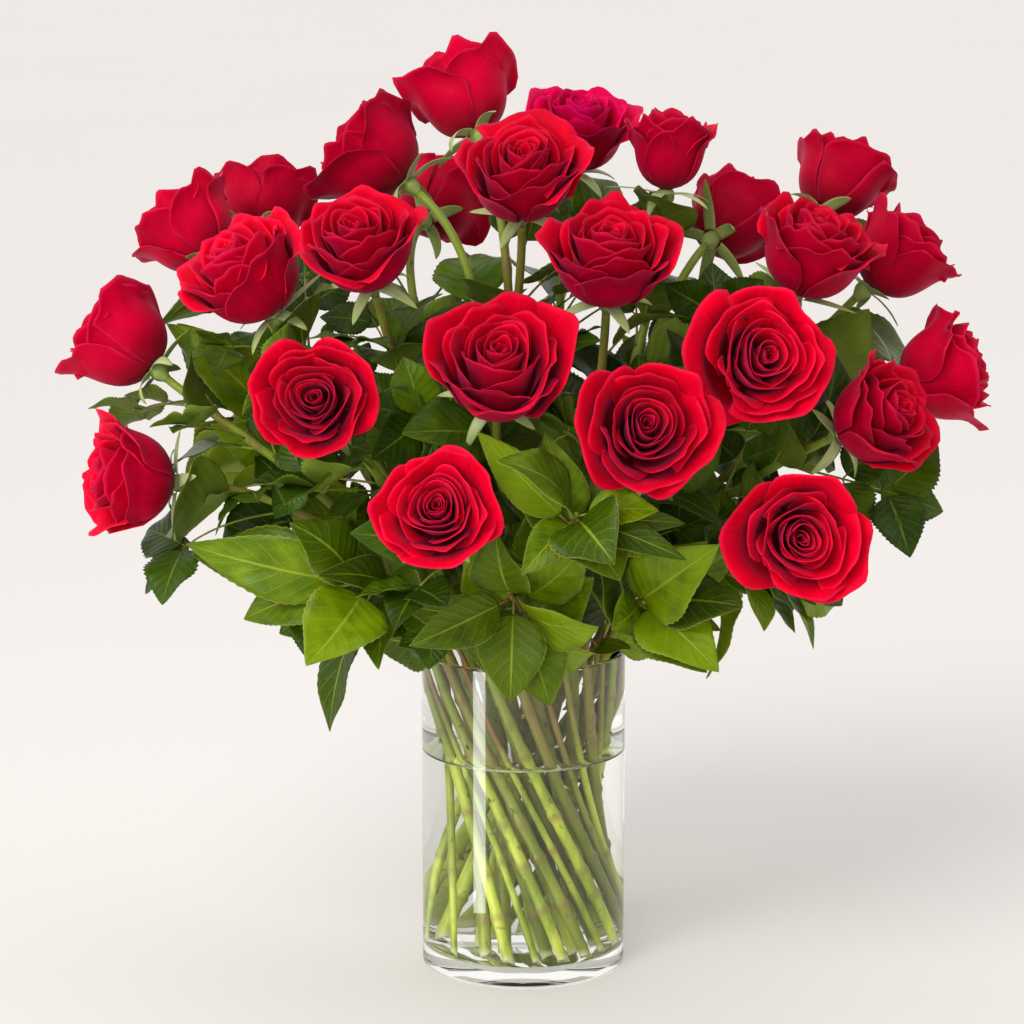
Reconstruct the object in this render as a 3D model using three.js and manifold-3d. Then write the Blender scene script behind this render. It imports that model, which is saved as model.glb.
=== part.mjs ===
// Twenty-five red roses and glossy greenery in a clear glass cylinder of water, their stems crossed as in a
// hand-tied bunch. Millimetres. X to the right, Y away from the viewer, Z up. The origin is the middle of the
// underside of the glass.

import * as THREE from "three";
import { mergeVertices } from "three/addons/utils/BufferGeometryUtils.js";
import Module from "manifold-3d";

const wasm = await Module();
wasm.setup();

// ---------------------------------------------------------------- driving dimensions
const GAP = 0.3; // between pieces that touch
const GLASS = { radius: 63.5, height: 203, wall: 3, base: 13, edge: 3, sides: 32 };
const WATER_LEVEL = 138;

// Stems stand on nested hyperboloids of one hand, so that straight stems never cross.
// waist is how near the axis a ring's stems pass, reach is their distance from it at the foot and at the rim.
const RINGS = {
  outer: { waist: 34, reach: 53.5 },
  middle: { waist: 22, reach: 38 },
  inner: { waist: 10, reach: 21 },
};
// leave and arrive are how far a stem's bend keeps its first and last direction, as shares of its chord.
const ROSE_STEM = { foot: 3.5, neck: 2.6, sides: 5, spans: 4, leave: 0.38, arrive: 0.3 };
const SPRAY_STEM = { foot: 2.3, neck: 1.3, sides: 4, spans: 4, leave: 0.38, arrive: 0.3 };
const SPRAY_NOD = 0.35; // how much a spray's end bends down from its chord
const HIP = { radius: 5.6, length: 12 };
const HIP_RINGS = [[0.3, 0.8], [0.7, 1], [1, 0.85]]; // share of its length, share of its radius
const HEAD_BELOW = 0.4; // of a bloom's diameter, from its middle down to its seat on the hip
const SEPAL = { length: 24, width: 5, thickness: 1.6 };
const BLADE = 0.8; // thickness of a leaf

// Each rose: middle of the head, the way it faces (degrees from the viewer, + to the right; degrees up),
// its diameter, its ring in the glass and where its stem leaves the rim (degrees from +X, anticlockwise).
const ROSES = [
  { at: [-251, 10, 397], turn: -116, up: 33, wide: 80, ring: "outer", exit: -164 },
  { at: [-244, -45, 318], turn: -69, up: 7, wide: 80, ring: "outer", exit: -147 },
  { at: [-212, 71, 459], turn: -128, up: 38, wide: 76, ring: "middle", exit: -178 },
  { at: [-167, 141, 464], turn: 173, up: 37, wide: 72, ring: "outer", exit: 160 },
  { at: [-171, -25, 445], turn: -60, up: 54, wide: 88, ring: "middle", exit: -152 },
  { at: [-98, -70, 468], turn: -22, up: 57, wide: 80, ring: "middle", exit: -122 },
  { at: [-122, -140, 384], turn: -6, up: 16, wide: 76, ring: "outer", exit: -114 },
  { at: [-97, 56, 507], turn: -114, up: 36, wide: 80, ring: "inner", exit: 170 },
  { at: [-54, 165, 462], turn: 161, up: 19, wide: 70, ring: "middle", exit: 128 },
  { at: [-38, 88, 540], turn: -153, up: 49, wide: 76, ring: "inner", exit: 120 },
  { at: [35, 75, 522], turn: 24, up: 73, wide: 76, ring: "inner", exit: 70 },
  { at: [-2, -25, 505], turn: -2, up: 57, wide: 82, ring: "inner", exit: -120 },
  { at: [50, -75, 462], turn: 2, up: 60, wide: 86, ring: "middle", exit: -45 },
  { at: [89, 25, 511], turn: 131, up: 85, wide: 62, ring: "inner", exit: 10 },
  { at: [132, 88, 461], turn: 151, up: 20, wide: 72, ring: "middle", exit: 55 },
  { at: [177, -15, 458], turn: 49, up: 65, wide: 84, ring: "middle", exit: 5 },
  { at: [202, 111, 484], turn: 143, up: 41, wide: 72, ring: "outer", exit: 59 },
  { at: [236, 49, 445], turn: 102, up: 44, wide: 76, ring: "outer", exit: 43 },
  { at: [140, -95, 402], turn: 7, up: 17, wide: 84, ring: "middle", exit: -20 },
  { at: [263, 16, 377], turn: 87, up: 19, wide: 78, ring: "outer", exit: 27 },
  { at: [215, -75, 363], turn: 55, up: 26, wide: 78, ring: "outer", exit: 11 },
  { at: [71, -165, 372], turn: 6, up: 19, wide: 82, ring: "outer", exit: -47 },
  { at: [-15, -140, 407], turn: 2, up: 45, wide: 92, ring: "middle", exit: -85 },
  { at: [-50, -185, 328], turn: -3, up: 20, wide: 76, ring: "outer", exit: -96 },
  { at: [163, -135, 302], turn: 6, up: 9, wide: 82, ring: "outer", exit: -18 },
];

// Leafy sprays: where the stem leaves the rim, where it ends, and its leaves placed by hand: how far along the
// stem each one starts (0 at the rim, 1 at the end), its tip and its width. The extra leaves follow ruleTip.
const SPRAYS = [
  { exit: -132, end: [-106, -105, 268], extra: 0, leaves: [
    { from: 0.8, tip: [-161, -125, 216], wide: 40 }, { from: 0.94, tip: [-166, -100, 234], wide: 36 },
    { from: 1, tip: [-200, -105, 286], wide: 38 }, { from: 0.9, tip: [-213, -72, 262], wide: 42 },
    { from: 0.86, tip: [-190, -75, 304], wide: 34 }, { from: 0.62, tip: [-88, -130, 240], wide: 30 },
    { from: 0.72, tip: [-120, -140, 285], wide: 24 }] },
  { exit: -32, end: [72, -105, 256], extra: 0, leaves: [
    { from: 0.9, tip: [112, -150, 296], wide: 43 }, { from: 0.75, tip: [108, -120, 225], wide: 40 },
    { from: 0.6, tip: [120, -60, 243], wide: 30 }, { from: 0.45, tip: [112, -45, 206], wide: 16 },
    { from: 1, tip: [66, -150, 300], wide: 18 }, { from: 0.8, tip: [140, -90, 266], wide: 32 }] },
  { exit: -80, end: [-8, -115, 262], extra: 0, leaves: [
    { from: 0.75, tip: [-47, -150, 239], wide: 34 }, { from: 0.95, tip: [-66, -145, 272], wide: 30 },
    { from: 1, tip: [-8, -122, 199], wide: 40 }, { from: 0.8, tip: [16, -105, 192], wide: 39 },
    { from: 0.6, tip: [-30, -100, 225], wide: 26 }, { from: 0.9, tip: [34, -150, 268], wide: 34 }] },
  { exit: -64, end: [30, -165, 322], extra: 0, leaves: [
    { from: 0.85, tip: [8, -178, 378], wide: 27 }, { from: 0.95, tip: [18, -205, 306], wide: 24 },
    { from: 1, tip: [66, -190, 334], wide: 24 }, { from: 0.9, tip: [88, -178, 314], wide: 17 },
    { from: 0.7, tip: [-8, -150, 342], wide: 30 }, { from: 0.75, tip: [58, -125, 340], wide: 34 }] },
  { exit: -4, end: [165, -45, 268], extra: 2, leaves: [
    { from: 0.85, tip: [199, -55, 234], wide: 32 }, { from: 1, tip: [240, -30, 303], wide: 36 },
    { from: 0.7, tip: [150, -90, 250], wide: 32 }] },
  { exit: 178, end: [-165, 45, 340], extra: 3, leaves: [
    { from: 0.95, tip: [-250, 0, 352], wide: 40 }, { from: 1, tip: [-218, 60, 398], wide: 38 },
    { from: 0.8, tip: [-205, -5, 325], wide: 32 }] },
  { exit: 120, end: [-70, 150, 330], extra: 6, leaves: [] },
  { exit: 84, end: [105, 140, 330], extra: 6, leaves: [] },
];
const SPRAY_LEAF = { long: 68, wide: 36, from: 0.3, lean: 0.7 };

// Compound leaves on the rose stems, above the glass: how far along the free stem, and their size. leaflet and
// wide are shares of the leaf's length; a free stem with a chord over second carries two leaves.
const ROSE_LEAF = { long: 82, from: 0.3, to: 0.86, leaflet: 0.44, wide: 0.27, second: 285, lean: 0.5 };
const GOLDEN_ANGLE = 137.5; // from one leaf to the next, round the stem
const HEART = [0, 0, 290]; // leaves turn their faces away from this point
const TRIES = 30; // places tried for a leaf before it is left off
const STRAY_GROWS = 12; // tries over which a leaf strays further and further from its first place
// A leaf's place on its stem: half its height, its room along the stem, and how far out the blade begins.
const NODE = { half: 1.2, apart: 4, out: 1.5 };

// Random draws are keyed, so that each is the same whatever was drawn before it.
const SEED = 11.7;
const DRAW = {
  sepalCurl: 3, sepalLength: 4,
  tipX: 12, tipY: 13, tipZ: 14, faceX: 15, faceY: 16, faceZ: 17, arch: 18, fold: 19,
  length: 21, width: 22, place: 31, pairs: 32, petalStretch: 41, petalLift: 42, petalTurn: 43,
};

// ---------------------------------------------------------------- small helpers
const vec = (x, y, z) => new THREE.Vector3(x, y, z);
const radians = THREE.MathUtils.degToRad;
const mix = (a, b, t) => a.clone().lerp(b, t);
const along = (origin, direction, distance) => origin.clone().addScaledVector(direction, distance);

// A draw from 0 to 1 that depends only on its three keys.
function draw(a, b, key) {
  const wave = Math.sin(a * 12.9898 + b * 78.233 + key * 37.719 + SEED) * 43758.5453;
  return wave - Math.floor(wave);
}

function facing({ turn, up }) {
  const a = radians(turn);
  const e = radians(up);
  return vec(Math.sin(a) * Math.cos(e), -Math.cos(a) * Math.cos(e), Math.sin(e));
}

// Two directions square to an axis, the first as level as it can be.
function across(axis) {
  const guide = Math.abs(axis.z) > 0.94 ? vec(0, 1, 0) : vec(0, 0, 1);
  const level = guide.clone().cross(axis).normalize();
  return [level, axis.clone().cross(level).normalize()];
}

function geometryOf(points, faces) {
  const geometry = new THREE.BufferGeometry();
  const numbers = points.flatMap((p) => p.toArray());
  geometry.setAttribute("position", new THREE.Float32BufferAttribute(numbers, 3));
  geometry.setIndex(faces.flat());
  return geometry;
}

function solidOf(geometry) {
  const bare = new THREE.BufferGeometry();
  bare.setAttribute("position", geometry.getAttribute("position"));
  bare.setIndex(geometry.getIndex());
  const merged = mergeVertices(bare, 1e-4);
  return new wasm.Manifold(new wasm.Mesh({
    numProp: 3,
    vertProperties: new Float32Array(merged.getAttribute("position").array),
    triVerts: new Uint32Array(merged.getIndex().array),
  }));
}

function geometryOfSolid(solid) {
  const { vertProperties, triVerts } = solid.getMesh();
  const geometry = new THREE.BufferGeometry();
  geometry.setAttribute("position", new THREE.BufferAttribute(vertProperties, 3));
  geometry.setIndex(new THREE.BufferAttribute(triVerts, 1));
  return geometry;
}

// A blade from an open sheet of triangles: its back lies a thickness behind, split alike. The edge from the
// sheet's first point to its second is left open: loop goes round that opening, as seen from the blade.
function blade(points, faces, thickness) {
  const normals = points.map(() => vec(0, 0, 0));
  for (const [a, b, c] of faces) {
    const normal = points[b].clone().sub(points[a]).cross(points[c].clone().sub(points[a]));
    for (const i of [a, b, c]) normals[i].add(normal);
  }
  const back = points.map((p, i) => along(p, normals[i].normalize(), -thickness));
  const n = points.length;
  const edges = new Map();
  for (const [a, b, c] of faces) {
    for (const [p, q] of [[a, b], [b, c], [c, a]]) edges.set(`${p},${q}`, [p, q]);
  }
  const rim = [...edges.values()].filter(([p, q]) => p + q !== 1 && !edges.has(`${q},${p}`));
  return {
    points: [...points, ...back],
    faces: [
      ...faces,
      ...faces.map(([a, b, c]) => [c + n, b + n, a + n]),
      ...rim.flatMap(([p, q]) => [[q, p, p + n], [q, p + n, q + n]]),
    ],
    loop: [1 + n, n, 0, 1],
  };
}

// A blade with its opening closed.
function closed({ points, faces, loop: [a, b, c, d] }) {
  return geometryOf(points, [...faces, [c, b, a], [d, c, a]]);
}

// ---------------------------------------------------------------- stems
// The straight run in the glass: foot and rim points of the stem that leaves the rim at an angle.
function run(ring, exit) {
  const { waist, reach } = RINGS[ring];
  const sweep = 2 * Math.acos(waist / reach);
  const point = (angle, z) => vec(reach * Math.cos(angle), reach * Math.sin(angle), z);
  const out = radians(exit);
  return { foot: point(out + sweep, GLASS.base + GAP), rim: point(out, GLASS.height) };
}

// Foot, rim, then an easy bend that arrives at the end along a direction.
function route({ foot, rim }, end, arrival, { spans, leave, arrive }) {
  const start = rim.clone().sub(foot).normalize();
  const far = end.distanceTo(rim);
  const [out, back] = [along(rim, start, far * leave), along(end, arrival, -far * arrive)];
  const bend = new THREE.CubicBezierCurve3(rim, out, back, end);
  return { foot, rim, points: [foot, ...bend.getPoints(spans)] };
}

// Rings of points square to a line of points; the first ring is cut level, so that it stands flat.
function ringsAlong(points, radii, sides) {
  let level = across(points[1].clone().sub(points[0]).normalize())[0];
  return points.map((point, i) => {
    const before = points[Math.max(i - 1, 0)];
    const after = points[Math.min(i + 1, points.length - 1)];
    const axis = after.clone().sub(before).normalize();
    level = level.clone().addScaledVector(axis, -level.dot(axis)).normalize();
    const upright = axis.clone().cross(level);
    const ring = [];
    for (let k = 0; k < sides; k++) {
      const a = (2 * Math.PI * k) / sides;
      const p = along(along(point, level, radii[i] * Math.cos(a)), upright, radii[i] * Math.sin(a));
      if (i === 0) p.addScaledVector(axis, (point.z - p.z) / axis.z);
      ring.push(p);
    }
    return ring;
  });
}

// A closed tube over rings. graft may give a part to grow in place of one wall: its points, its faces and the
// loop of four that joins the wall's corners, in their order.
function tube(rings, graft = () => null) {
  const sides = rings[0].length;
  const last = rings.length - 1;
  const points = rings.flat();
  const faces = [];
  const wall = (a, b, c, d) => faces.push([a, b, c], [a, c, d]);
  const id = (i, k) => i * sides + (k % sides);
  for (let i = 0; i < last; i++) {
    for (let k = 0; k < sides; k++) {
      const quad = [id(i, k), id(i, k + 1), id(i + 1, k + 1), id(i + 1, k)];
      const grown = graft(i, k, quad.map((n) => points[n]));
      if (grown) {
        const first = points.length;
        points.push(...grown.points);
        faces.push(...grown.faces.map((face) => face.map((n) => n + first)));
        quad.forEach((n, j) => {
          const next = (j + 1) % 4;
          wall(n, quad[next], first + grown.loop[next], first + grown.loop[j]);
        });
      } else {
        wall(...quad);
      }
    }
  }
  for (let k = 1; k + 1 < sides; k++) {
    faces.push([id(0, 0), id(0, k + 1), id(0, k)]);
    faces.push([id(last, 0), id(last, k), id(last, k + 1)]);
  }
  return geometryOf(points, faces);
}

// The same loop started where its corners lie nearest to a wall's.
function matched(loop, points, quad) {
  const turns = [0, 1, 2, 3].map((shift) => quad.map((_, j) => loop[(j + shift) % 4]));
  const reach = (turn) => turn.reduce((sum, n, j) => sum + points[n].distanceTo(quad[j]), 0);
  return turns.reduce((best, turn) => (reach(turn) < reach(best) ? turn : best));
}

const middleOf = (points) => points.reduce((sum, p) => sum.add(p), vec(0, 0, 0)).divideScalar(points.length);

// Places along a stem, clear of its corners and of each other: a wanted place moves back until it is free.
function spaced(wanted, corners) {
  const taken = [...corners];
  return wanted.map((place) => {
    let free = Math.min(place, corners[corners.length - 1] - NODE.apart);
    while (taken.some((other) => Math.abs(other - free) < NODE.apart)) free -= 1;
    taken.push(free);
    return free;
  });
}

// A stem along a path that thins from foot to neck. Each leaf, wanted at a share of the free part, gets a pair
// of rings and a node: the span between them, the stem's middle there and its direction.
function makeStem(path, { foot, neck, sides }, shares, ending = []) {
  const corners = [0];
  path.points.slice(1).forEach((p, i) => corners.push(corners[i] + p.distanceTo(path.points[i])));
  const whole = corners[corners.length - 1];
  const free = whole - corners[1];
  const places = spaced(shares.map((share) => corners[1] + share * free), corners);
  const pointAt = (length) => {
    const i = Math.max(corners.findIndex((corner) => corner > length) - 1, 0);
    return mix(path.points[i], path.points[i + 1], (length - corners[i]) / (corners[i + 1] - corners[i]));
  };
  const stations = [
    ...corners.map((length, i) => ({ length, point: path.points[i] })),
    ...places.flatMap((length) => [
      { length: length - NODE.half, point: pointAt(length - NODE.half) },
      { length: length + NODE.half, point: pointAt(length + NODE.half) },
    ]),
  ].sort((a, b) => a.length - b.length);
  const radius = (length) => foot + ((neck - foot) * length) / whole;
  const radii = [...stations.map(({ length }) => radius(length)), ...ending.map(({ r }) => r)];
  const points = [...stations.map(({ point }) => point), ...ending.map(({ p }) => p)];
  const rings = ringsAlong(points, radii, sides);
  const nodes = places.map((length) => ({
    span: stations.findIndex((station) => station.length === length - NODE.half),
    point: pointAt(length),
    direction: pointAt(length + NODE.half).sub(pointAt(length - NODE.half)).normalize(),
  }));
  return { path, rings, nodes, rim: { length: corners[1], radius: radius(corners[1]) }, foot, sides };
}

// ---------------------------------------------------------------- leaves
// A leaf's frame: from its root towards its tip, its face turned to a hint.
function leafFrame(root, tip, hint) {
  const forward = tip.clone().sub(root);
  const long = forward.length();
  forward.normalize();
  const up = hint.clone().addScaledVector(forward, -hint.dot(forward)).normalize();
  return { root, forward, up, side: up.clone().cross(forward), long };
}

// A point of the leaf: s along it, w across it in millimetres, arched lengthways and folded at the midrib.
function leafPoint({ root, forward, up, side, long }, s, w, { arch, fold, wave = 0 }) {
  const lift = arch * long * 4 * s * (1 - s) + Math.abs(w) * fold + wave;
  return along(along(along(root, forward, s * long), side, w), up, lift);
}

const LEAF_STATIONS = [[0.2, 0.66], [0.45, 1], [0.74, 0.68]]; // along the leaf, share of its half width
const PETIOLE_HALF = 0.8;

function simpleLeaf(frame, wide, curl) {
  const points = [-1, 1].map((k) => leafPoint(frame, 0, k * PETIOLE_HALF, curl));
  LEAF_STATIONS.forEach(([s, share], i) => {
    const wave = (i % 2 ? 0.02 : -0.02) * frame.long;
    const half = (share * wide) / 2;
    points.push(leafPoint(frame, s, -half, { ...curl, wave }));
    points.push(leafPoint(frame, s, 0, curl));
    points.push(leafPoint(frame, s, half, { ...curl, wave: -wave }));
  });
  points.push(leafPoint(frame, 1, 0, curl));
  const faces = [[0, 1, 3], [0, 3, 2], [1, 4, 3]];
  for (let i = 0; i + 1 < LEAF_STATIONS.length; i++) {
    const [l, m, r] = [2 + 3 * i, 3 + 3 * i, 4 + 3 * i];
    faces.push([l, m, m + 3], [l, m + 3, l + 3], [m, r, r + 3], [m, r + 3, m + 3]);
  }
  const last = 2 + 3 * (LEAF_STATIONS.length - 1);
  faces.push([last, last + 1, last + 3], [last + 1, last + 2, last + 3]);
  return blade(points, faces, BLADE);
}

// A rose's leaf: pairs of leaflets and one at the end, all in one arched blade cut to the rib.
function compoundLeaf(frame, pairs, curl) {
  const { long } = frame;
  const points = [];
  const faces = [];
  const put = (s, w, wave = 0) => points.push(leafPoint(frame, s, w, { ...curl, wave })) - 1;
  const reach = ROSE_LEAF.leaflet * long;
  const half = (ROSE_LEAF.wide * long) / 2;
  const foot = 2.6 / long; // length of rib that a leaflet is joined to
  let rib = [-1, 1].map((k) => put(0, k * PETIOLE_HALF));
  const advance = (s) => {
    const next = [-1, 1].map((k) => put(s, k * PETIOLE_HALF));
    faces.push([rib[0], rib[1], next[1]], [rib[0], next[1], next[0]]);
    const last = rib;
    rib = next;
    return last;
  };
  for (let pair = 0; pair < pairs; pair++) {
    const s = 0.62 - 0.27 * (pairs - 1 - pair);
    const size = 1 - 0.15 * (pairs - 1 - pair);
    advance(s);
    const start = advance(s + foot);
    [-1, 1].forEach((k, i) => {
      const out = (share, lean, wave) => {
        const w = k * (PETIOLE_HALF + reach * size * share * 0.8);
        return put(s + foot / 2 + (reach * size * share * 0.5) / long + (lean * half * size) / long, w, wave);
      };
      const [low, tip, high] = [out(0.45, -0.95, 1), out(1, 0, -2), out(0.5, 0.95, 1)];
      const fan = [[start[i], low, rib[i]], [low, high, rib[i]], [low, tip, high]];
      faces.push(...fan.map(([a, b, c]) => (k > 0 ? [a, b, c] : [b, a, c])));
    });
  }
  advance(1 - ROSE_LEAF.leaflet);
  const s = (share) => 1 - ROSE_LEAF.leaflet * (1 - share);
  const [left, right] = [put(s(0.42), -half * 1.1, 1), put(s(0.42), half * 1.1, 1)];
  const [middle, tip] = [put(s(0.45), 0), put(1, 0, -1)];
  const ring = [rib[0], rib[1], right, tip, left];
  ring.forEach((a, n) => faces.push([a, ring[(n + 1) % ring.length], middle]));
  return blade(points, faces, BLADE);
}

// ---------------------------------------------------------------- blooms
// A bloom stands on its seat at the origin, facing +Z. Its surface is a stack of rings, one unit across, from
// the seat up round the outside of the five outer petals, over their rolled rims, down between them and the
// next five, over those and down to the bud. Each petal has three samples, the last inside the next petal's first.
const PETALS = 5;
const BLOOM_RINGS = [
  { r: [0.27, 0.28, 0.25], z: [0.1, 0.09, 0.11] },
  { r: [0.42, 0.44, 0.4], z: [0.33, 0.32, 0.35] },
  { r: [0.46, 0.53, 0.44], z: [0.6, 0.56, 0.53], rolled: true },
  { r: [0.4, 0.45, 0.39], z: [0.63, 0.63, 0.57], rolled: true },
  { r: [0.33, 0.34, 0.32], z: [0.42, 0.42, 0.42] },
  { r: [0.34, 0.35, 0.27], z: [0.7, 0.74, 0.62], shift: 1 },
  { r: [0.18, 0.2, 0.16], z: [0.52, 0.54, 0.52], shift: 1 },
];
const BUD_TOP = 0.72;

function bloom(wide, i) {
  const points = [vec(0, 0, 0)];
  const count = 3 * PETALS;
  for (const { r, z, shift = 0, rolled } of BLOOM_RINGS) {
    for (let k = 0; k < count; k++) {
      const sample = (k + shift) % 3;
      const petal = Math.floor((k + shift) / 3) % PETALS;
      const stretch = rolled ? 0.94 + 0.06 * draw(i, petal, DRAW.petalStretch) : 1;
      const lift = rolled ? 0.03 * (draw(i, petal, DRAW.petalLift) - 0.5) : 0;
      const a = (2 * Math.PI * (k + draw(i, 0, DRAW.petalTurn))) / count;
      const radius = r[sample] * stretch * wide;
      points.push(vec(radius * Math.cos(a), radius * Math.sin(a), (z[sample] + lift) * wide));
    }
  }
  points.push(vec(0, 0, BUD_TOP * wide));
  const id = (ring, k) => 1 + ring * count + (k % count);
  const last = BLOOM_RINGS.length - 1;
  const faces = [];
  for (let k = 0; k < count; k++) {
    faces.push([0, id(0, k + 1), id(0, k)], [points.length - 1, id(last, k), id(last, k + 1)]);
    for (let ring = 0; ring < last; ring++) {
      faces.push([id(ring, k), id(ring, k + 1), id(ring + 1, k + 1)]);
      faces.push([id(ring, k), id(ring + 1, k + 1), id(ring + 1, k)]);
    }
  }
  return solidOf(geometryOf(points, faces));
}

// ---------------------------------------------------------------- glass and water
function glass() {
  const { radius, height, wall, base, edge, sides } = GLASS;
  const corner = (r, z, size, from, to, steps) => {
    const points = [];
    for (let i = 0; i <= steps; i++) {
      const a = radians(from + ((to - from) * i) / steps);
      points.push(new THREE.Vector2(r + size * Math.cos(a), z + size * Math.sin(a)));
    }
    return points;
  };
  const profile = [
    new THREE.Vector2(0, 0),
    ...corner(radius - edge, edge, edge, -90, 0, 2),
    ...corner(radius - wall / 2, height - wall / 2, wall / 2, 0, 180, 2),
    new THREE.Vector2(radius - wall, base),
    new THREE.Vector2(0, base),
  ];
  return new THREE.LatheGeometry(profile, sides).rotateX(Math.PI / 2);
}

// Water fills the glass to its level, with a plain hole round each stem.
function water(stems) {
  const { radius, wall, base, sides } = GLASS;
  const inside = radius - wall - GAP;
  const round = new THREE.Shape();
  for (let k = 0; k < sides; k++) {
    const a = (2 * Math.PI * k) / sides;
    round[k ? "lineTo" : "moveTo"](inside * Math.cos(a), inside * Math.sin(a));
  }
  const filled = new THREE.ExtrudeGeometry(round, { depth: WATER_LEVEL - base - GAP, bevelEnabled: false });
  let solid = solidOf(filled.translate(0, 0, base + GAP));
  for (const { path, rim, foot, sides: around } of stems) {
    const [from, to] = path.points;
    const lean = to.clone().sub(from).normalize();
    const over = 20 / lean.z; // the cutter stands this far out below
    const grow = (rim.radius - foot) / rim.length;
    const radii = [foot - grow * over + GAP, rim.radius + GAP];
    solid = solid.subtract(solidOf(tube(ringsAlong([along(from, lean, -over), to], radii, around))));
  }
  return solid;
}

// ---------------------------------------------------------------- growing leaves and sepals
// Solids in place, for the clearance of each leaf that comes after.
const placed = [];

function place(solid) {
  placed.push({ solid, box: solid.boundingBox() });
}

function near(a, b, room) {
  return [0, 1, 2].every((i) => a.min[i] - room < b.max[i] && b.min[i] - room < a.max[i]);
}

function isClear(solid, room) {
  const box = solid.boundingBox();
  return placed.every((other) => !near(box, other.box, room) || solid.minGap(other.solid, room) >= room);
}

// A sepal grows from one side of the hip, out and then down past it, as its own draws say.
function sepal(axis, quad, i, k) {
  const middle = middleOf(quad);
  const sideways = quad[1].clone().sub(quad[0]).normalize();
  const out = sideways.clone().cross(axis).normalize();
  const curl = 0.25 + 0.5 * draw(i, k, DRAW.sepalCurl);
  const long = SEPAL.length * (0.85 + 0.3 * draw(i, k, DRAW.sepalLength));
  const bend = along(along(middle, out, long * 0.45), axis, -2 - 5 * curl);
  const [half, thick] = [SEPAL.width / 2, SEPAL.thickness / 2];
  const section = [[-half, -thick], [half, -thick], [half, thick], [-half, thick]].map(
    ([w, t]) => along(along(bend, sideways, w), axis, t),
  );
  const tip = along(along(middle, out, long * 0.8), axis, -long * curl);
  const faces = [[0, 1, 4], [1, 2, 4], [2, 3, 4], [3, 0, 4]];
  return { points: [...section, tip], faces, loop: [0, 1, 2, 3] };
}

// Leaves by rule: they leave the stem all round it in turn, by the golden angle, and lean along it.
function ruleTip({ point, direction }, turn, long, lean) {
  const [level, upright] = across(direction);
  const angle = radians(GOLDEN_ANGLE) * turn;
  const out = level.clone().multiplyScalar(Math.cos(angle)).addScaledVector(upright, Math.sin(angle));
  const away = outward(point).multiplyScalar(0.5);
  return along(point, out.addScaledVector(direction, lean).add(away).add(vec(0, 0, -0.35)).normalize(), long);
}

// Away from the bouquet's heart, and a little upward.
function outward(point) {
  return point.clone().sub(vec(...HEART)).normalize().add(vec(0, 0, 0.5)).normalize();
}

// The wall of a node's span that faces a direction most, and the quad of its corners.
function wallTowards({ rings, sides }, { span, point }, direction) {
  const walls = [];
  for (let k = 0; k < sides; k++) {
    const next = (k + 1) % sides;
    const quad = [rings[span][k], rings[span][next], rings[span + 1][next], rings[span + 1][k]];
    walls.push({ k, quad, facing: middleOf(quad).sub(point).normalize().dot(direction) });
  }
  return walls.reduce((best, wall) => (wall.facing > best.facing ? wall : best));
}

// Tries the leaf where it is wanted, then further and further off, until it is clear of its neighbours.
function growLeaf(owner, node, key, { tip: wanted, wide, pairs, loose }) {
  for (let k = 0; k < TRIES; k++) {
    const stray = (which) => (draw(key, k, which) - 0.5) * loose * Math.min(1, k / STRAY_GROWS) * 2;
    const long = wanted.distanceTo(node.point);
    const shift = vec(stray(DRAW.tipX), stray(DRAW.tipY), stray(DRAW.tipZ)).multiplyScalar(long);
    const direction = wanted.clone().sub(node.point).add(shift).normalize();
    const tip = along(node.point, direction, long);
    const wall = wallTowards(owner, node, direction);
    const root = along(middleOf(wall.quad), direction, NODE.out);
    const turn = vec(stray(DRAW.faceX), stray(DRAW.faceY), stray(DRAW.faceZ));
    const frame = leafFrame(root, tip, outward(mix(root, tip, 0.5)).add(turn));
    const curl = { arch: 0.06 + 0.08 * draw(key, k, DRAW.arch), fold: 0.12 + 0.2 * draw(key, k, DRAW.fold) };
    const leaf = pairs ? compoundLeaf(frame, pairs, curl) : simpleLeaf(frame, wide, curl);
    const solid = solidOf(closed(leaf));
    if (isClear(solid, 2 * GAP)) {
      place(solid);
      const loop = matched(leaf.loop, leaf.points, wall.quad);
      return { span: node.span, k: wall.k, points: leaf.points, faces: leaf.faces, loop };
    }
  }
  return null;
}

// ---------------------------------------------------------------- the bouquet, piece by piece
const numbered = (i) => String(i + 1).padStart(2, "0");

const roses = ROSES.map((rose, i) => {
  const axis = facing(rose);
  const seat = along(vec(...rose.at), axis, -HEAD_BELOW * rose.wide);
  const end = along(seat, axis, -HIP.length);
  const path = route(run(rose.ring, rose.exit), end, axis, ROSE_STEM);
  const hip = HIP_RINGS.map(([l, r]) => ({ p: along(end, axis, l * HIP.length), r: r * HIP.radius }));
  const count = path.points[1].distanceTo(seat) > ROSE_LEAF.second ? 2 : 1;
  const shares = [];
  for (let j = 0; j < count; j++) {
    shares.push(ROSE_LEAF.from + ((ROSE_LEAF.to - ROSE_LEAF.from) * (j + draw(i, j, DRAW.place))) / count);
  }
  const stem = makeStem(path, ROSE_STEM, shares, hip);
  const wanted = stem.nodes.map((node, j) => {
    const pairs = draw(i, j, DRAW.pairs) > 0.75 ? 2 : 1;
    const long = ROSE_LEAF.long * (0.85 + 0.2 * draw(i, j, DRAW.length)) * (pairs > 1 ? 1.15 : 1);
    return { tip: ruleTip(node, i * 2 + j, long, ROSE_LEAF.lean), pairs, loose: 1.1 };
  });
  const sepals = (span, k, quad) => (span === stem.rings.length - 2 ? sepal(axis, quad, i, k) : null);
  const name = `rose_${numbered(i)}`;
  return { name, wide: rose.wide, axis, seat, stem, wanted, sepals, first: 1000 + 10 * i };
});

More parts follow.
